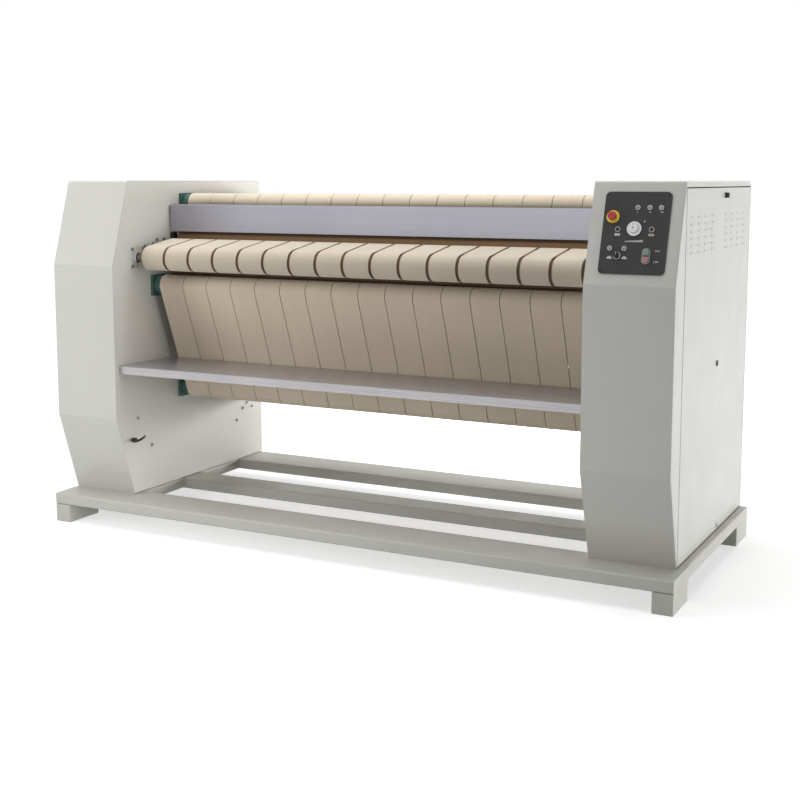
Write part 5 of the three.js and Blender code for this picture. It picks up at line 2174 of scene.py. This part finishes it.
@dataclass
class Studio:
    """Floor, soft lights and the camera of the photograph."""

    place: tuple[float, float, float] = (2.579, -4.950, 1.5417)
    tilt: float = 82.79
    heading: float = 27.25
    lens: float = 57.66
    shift: float = -0.072
    floor_size: float = 40.0
    floor_tone: float = 0.66
    floor_lift: float = 0.58
    ambient: float = 0.02
    lamps: tuple[SoftBox, ...] = (
        SoftBox("key", (-3.2, -2.9, 1.6), (-1.2, -0.3, 0.8), 1.4, 1.4, 44),
        SoftBox("right", (12.0, -2.2, 1.5), (0.0, -0.2, 0.7), 3.0, 3.0, 390),
        SoftBox("back_right", (9.0, 6.0, 0.6), (-1.09, 0.1, 0.4), 3.0, 1.6, 500),
        SoftBox("back_left", (-11.0, 2.0, 0.8), (-1.42, 0.0, 0.8), 3.0, 1.6, 260),
        SoftBox("top", (0.2, -0.9, 5.0), (0.0, 0.0, 0.8), 5.0, 3.5, 100),
        SoftBox("over", (0.0, 0.6, 3.6), (0.0, 0.1, 0.8), 3.4, 2.4, 72),
        SoftBox("bay", (-0.2, 3.2, 0.5), (-1.09, 0.1, 0.4), 2.0, 0.8, 60),
        SoftBox("front", (-0.6, -2.4, 0.95), (-0.3, 0.0, 0.95), 1.6, 0.5, 10),
        SoftBox("left", (-2.2, -1.5, 4.0), (-1.0, 0.0, 1.0), 2.0, 2.0, 25),
    )

    def build(self) -> None:
        """Builds the camera, the floor, the lamps and the sky."""
        self._camera()
        self._floor()
        for lamp in self.lamps:
            lamp.hang()
        self._sky()
        bpy.context.scene.view_settings.view_transform = "Standard"

    def _camera(self) -> None:
        """Places the camera."""
        data = bpy.data.cameras.new("camera")
        data.lens = self.lens
        data.sensor_width = 36
        data.shift_y = self.shift
        camera = bpy.data.objects.new("camera", data)
        camera.location = self.place
        camera.rotation_euler = (math.radians(self.tilt), 0, math.radians(self.heading))
        bpy.context.scene.collection.objects.link(camera)
        bpy.context.scene.camera = camera

    def _floor(self) -> None:
        """Lays the pale floor, which keeps the shadow and goes over into the white backdrop."""
        bm = bmesh.new()
        bmesh.ops.create_grid(bm, x_segments=1, y_segments=1, size=self.floor_size)
        data = bpy.data.meshes.new("floor")
        bm.to_mesh(data)
        bm.free()
        material = bpy.data.materials.new("floor_paper")
        material.use_nodes = True
        tree = material.node_tree
        bench = Bench(tree)
        shader = tree.nodes["Principled BSDF"]
        bench.feed(shader, Base_Color=(*(self.floor_tone,) * 3, 1), Roughness=0.9)
        reach = bench.node("VectorMath", operation="LENGTH")
        bench.join(bench.node("TexCoord").outputs["Object"], reach.inputs[0])
        fade = bench.spread(reach.outputs["Value"], self.floor_lift, 1.0, 1.6, 5.0)
        glow = bench.feed(bench.node("Emission"), Color=(1, 1, 1, 1), Strength=fade)
        both = bench.node("AddShader")
        bench.join(shader.outputs[0], both.inputs[0])
        bench.join(glow.outputs[0], both.inputs[1])
        self._part(bench, shader, both, tree.nodes["Material Output"])
        data.materials.append(material)
        floor = bpy.data.objects.new("floor", data)
        bpy.context.scene.collection.objects.link(floor)
        floor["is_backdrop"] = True

    def _part(self, bench: Bench, lighting: Node, seen: Node, output: Node) -> None:
        """Gives the backdrop one look as a light and one for the camera, also off metal or through glass.

        Args:
            bench: The tree to work in.
            lighting: The shader that lights the scene.
            seen: The shader that is seen.
            output: The tree's output node.
        """
        rays = bench.node("LightPath")
        total = rays.outputs["Is Camera Ray"]
        for label in ("Is Glossy Ray", "Is Transmission Ray"):
            total = bench.arithmetic("MAXIMUM", total, rays.outputs[label])
        mix = bench.node("MixShader")
        for source, target in zip((total, lighting.outputs[0], seen.outputs[0]), mix.inputs):
            bench.join(source, target)
        bench.join(mix.outputs[0], output.inputs["Surface"])

    def _sky(self) -> None:
        """Makes the backdrop white to see and softer as a light."""
        world = bpy.data.worlds.new("studio")
        bpy.context.scene.world = world
        world.use_nodes = True
        bench = Bench(world.node_tree)
        soft = world.node_tree.nodes["Background"]
        bench.feed(soft, Color=(1, 1, 1, 1), Strength=self.ambient)
        white = bench.feed(bench.node("Background"), Color=(1, 1, 1, 1), Strength=1.0)
        self._part(bench, soft, white, world.node_tree.nodes["World Output"])


# The finish of each material slot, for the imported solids.
SLOT_FINISHES = {
    "paint": "enamel",
    "stainless": "stainless",
    "steel": "steel",
    "green_paint": "roller_green",
    "brown_rubber": "brown_rubber",
    "belt": "belt",
    "fascia": "fascia",
    "black_plastic": "black",
    "chrome": "chrome",
    "silver": "steel",
    "lens": "lamp",
    "yellow": "yellow",
    "red": "red",
    "green": "start_green",
    "motor_grey": "motor",
}


def main() -> None:
    """Builds the scene."""
    logging.basicConfig(level=logging.INFO)
    ironer = Ironer()
    shop = Workshop(ironer)
    for node in ironer.frame["nodes"]:
        ironer.paint(node, shop.material(getattr(shop.finishes, SLOT_FINISHES[ironer.slot(node)])))
    Base(shop).build()
    for side in Side:
        Cabinet(shop, side).build()
    Rolls(shop).build()
    IroningBelts(shop).build()
    FeedTable(shop).build()
    Guard(shop).build()
    Tray(shop).build()
    LimitSwitch(shop).build()
    TensionLever(shop).build()
    Drive(shop).build()
    Console(shop).build()
    Studio().build()
    ironer.write_sizes()


if __name__ == "__main__":
    main()
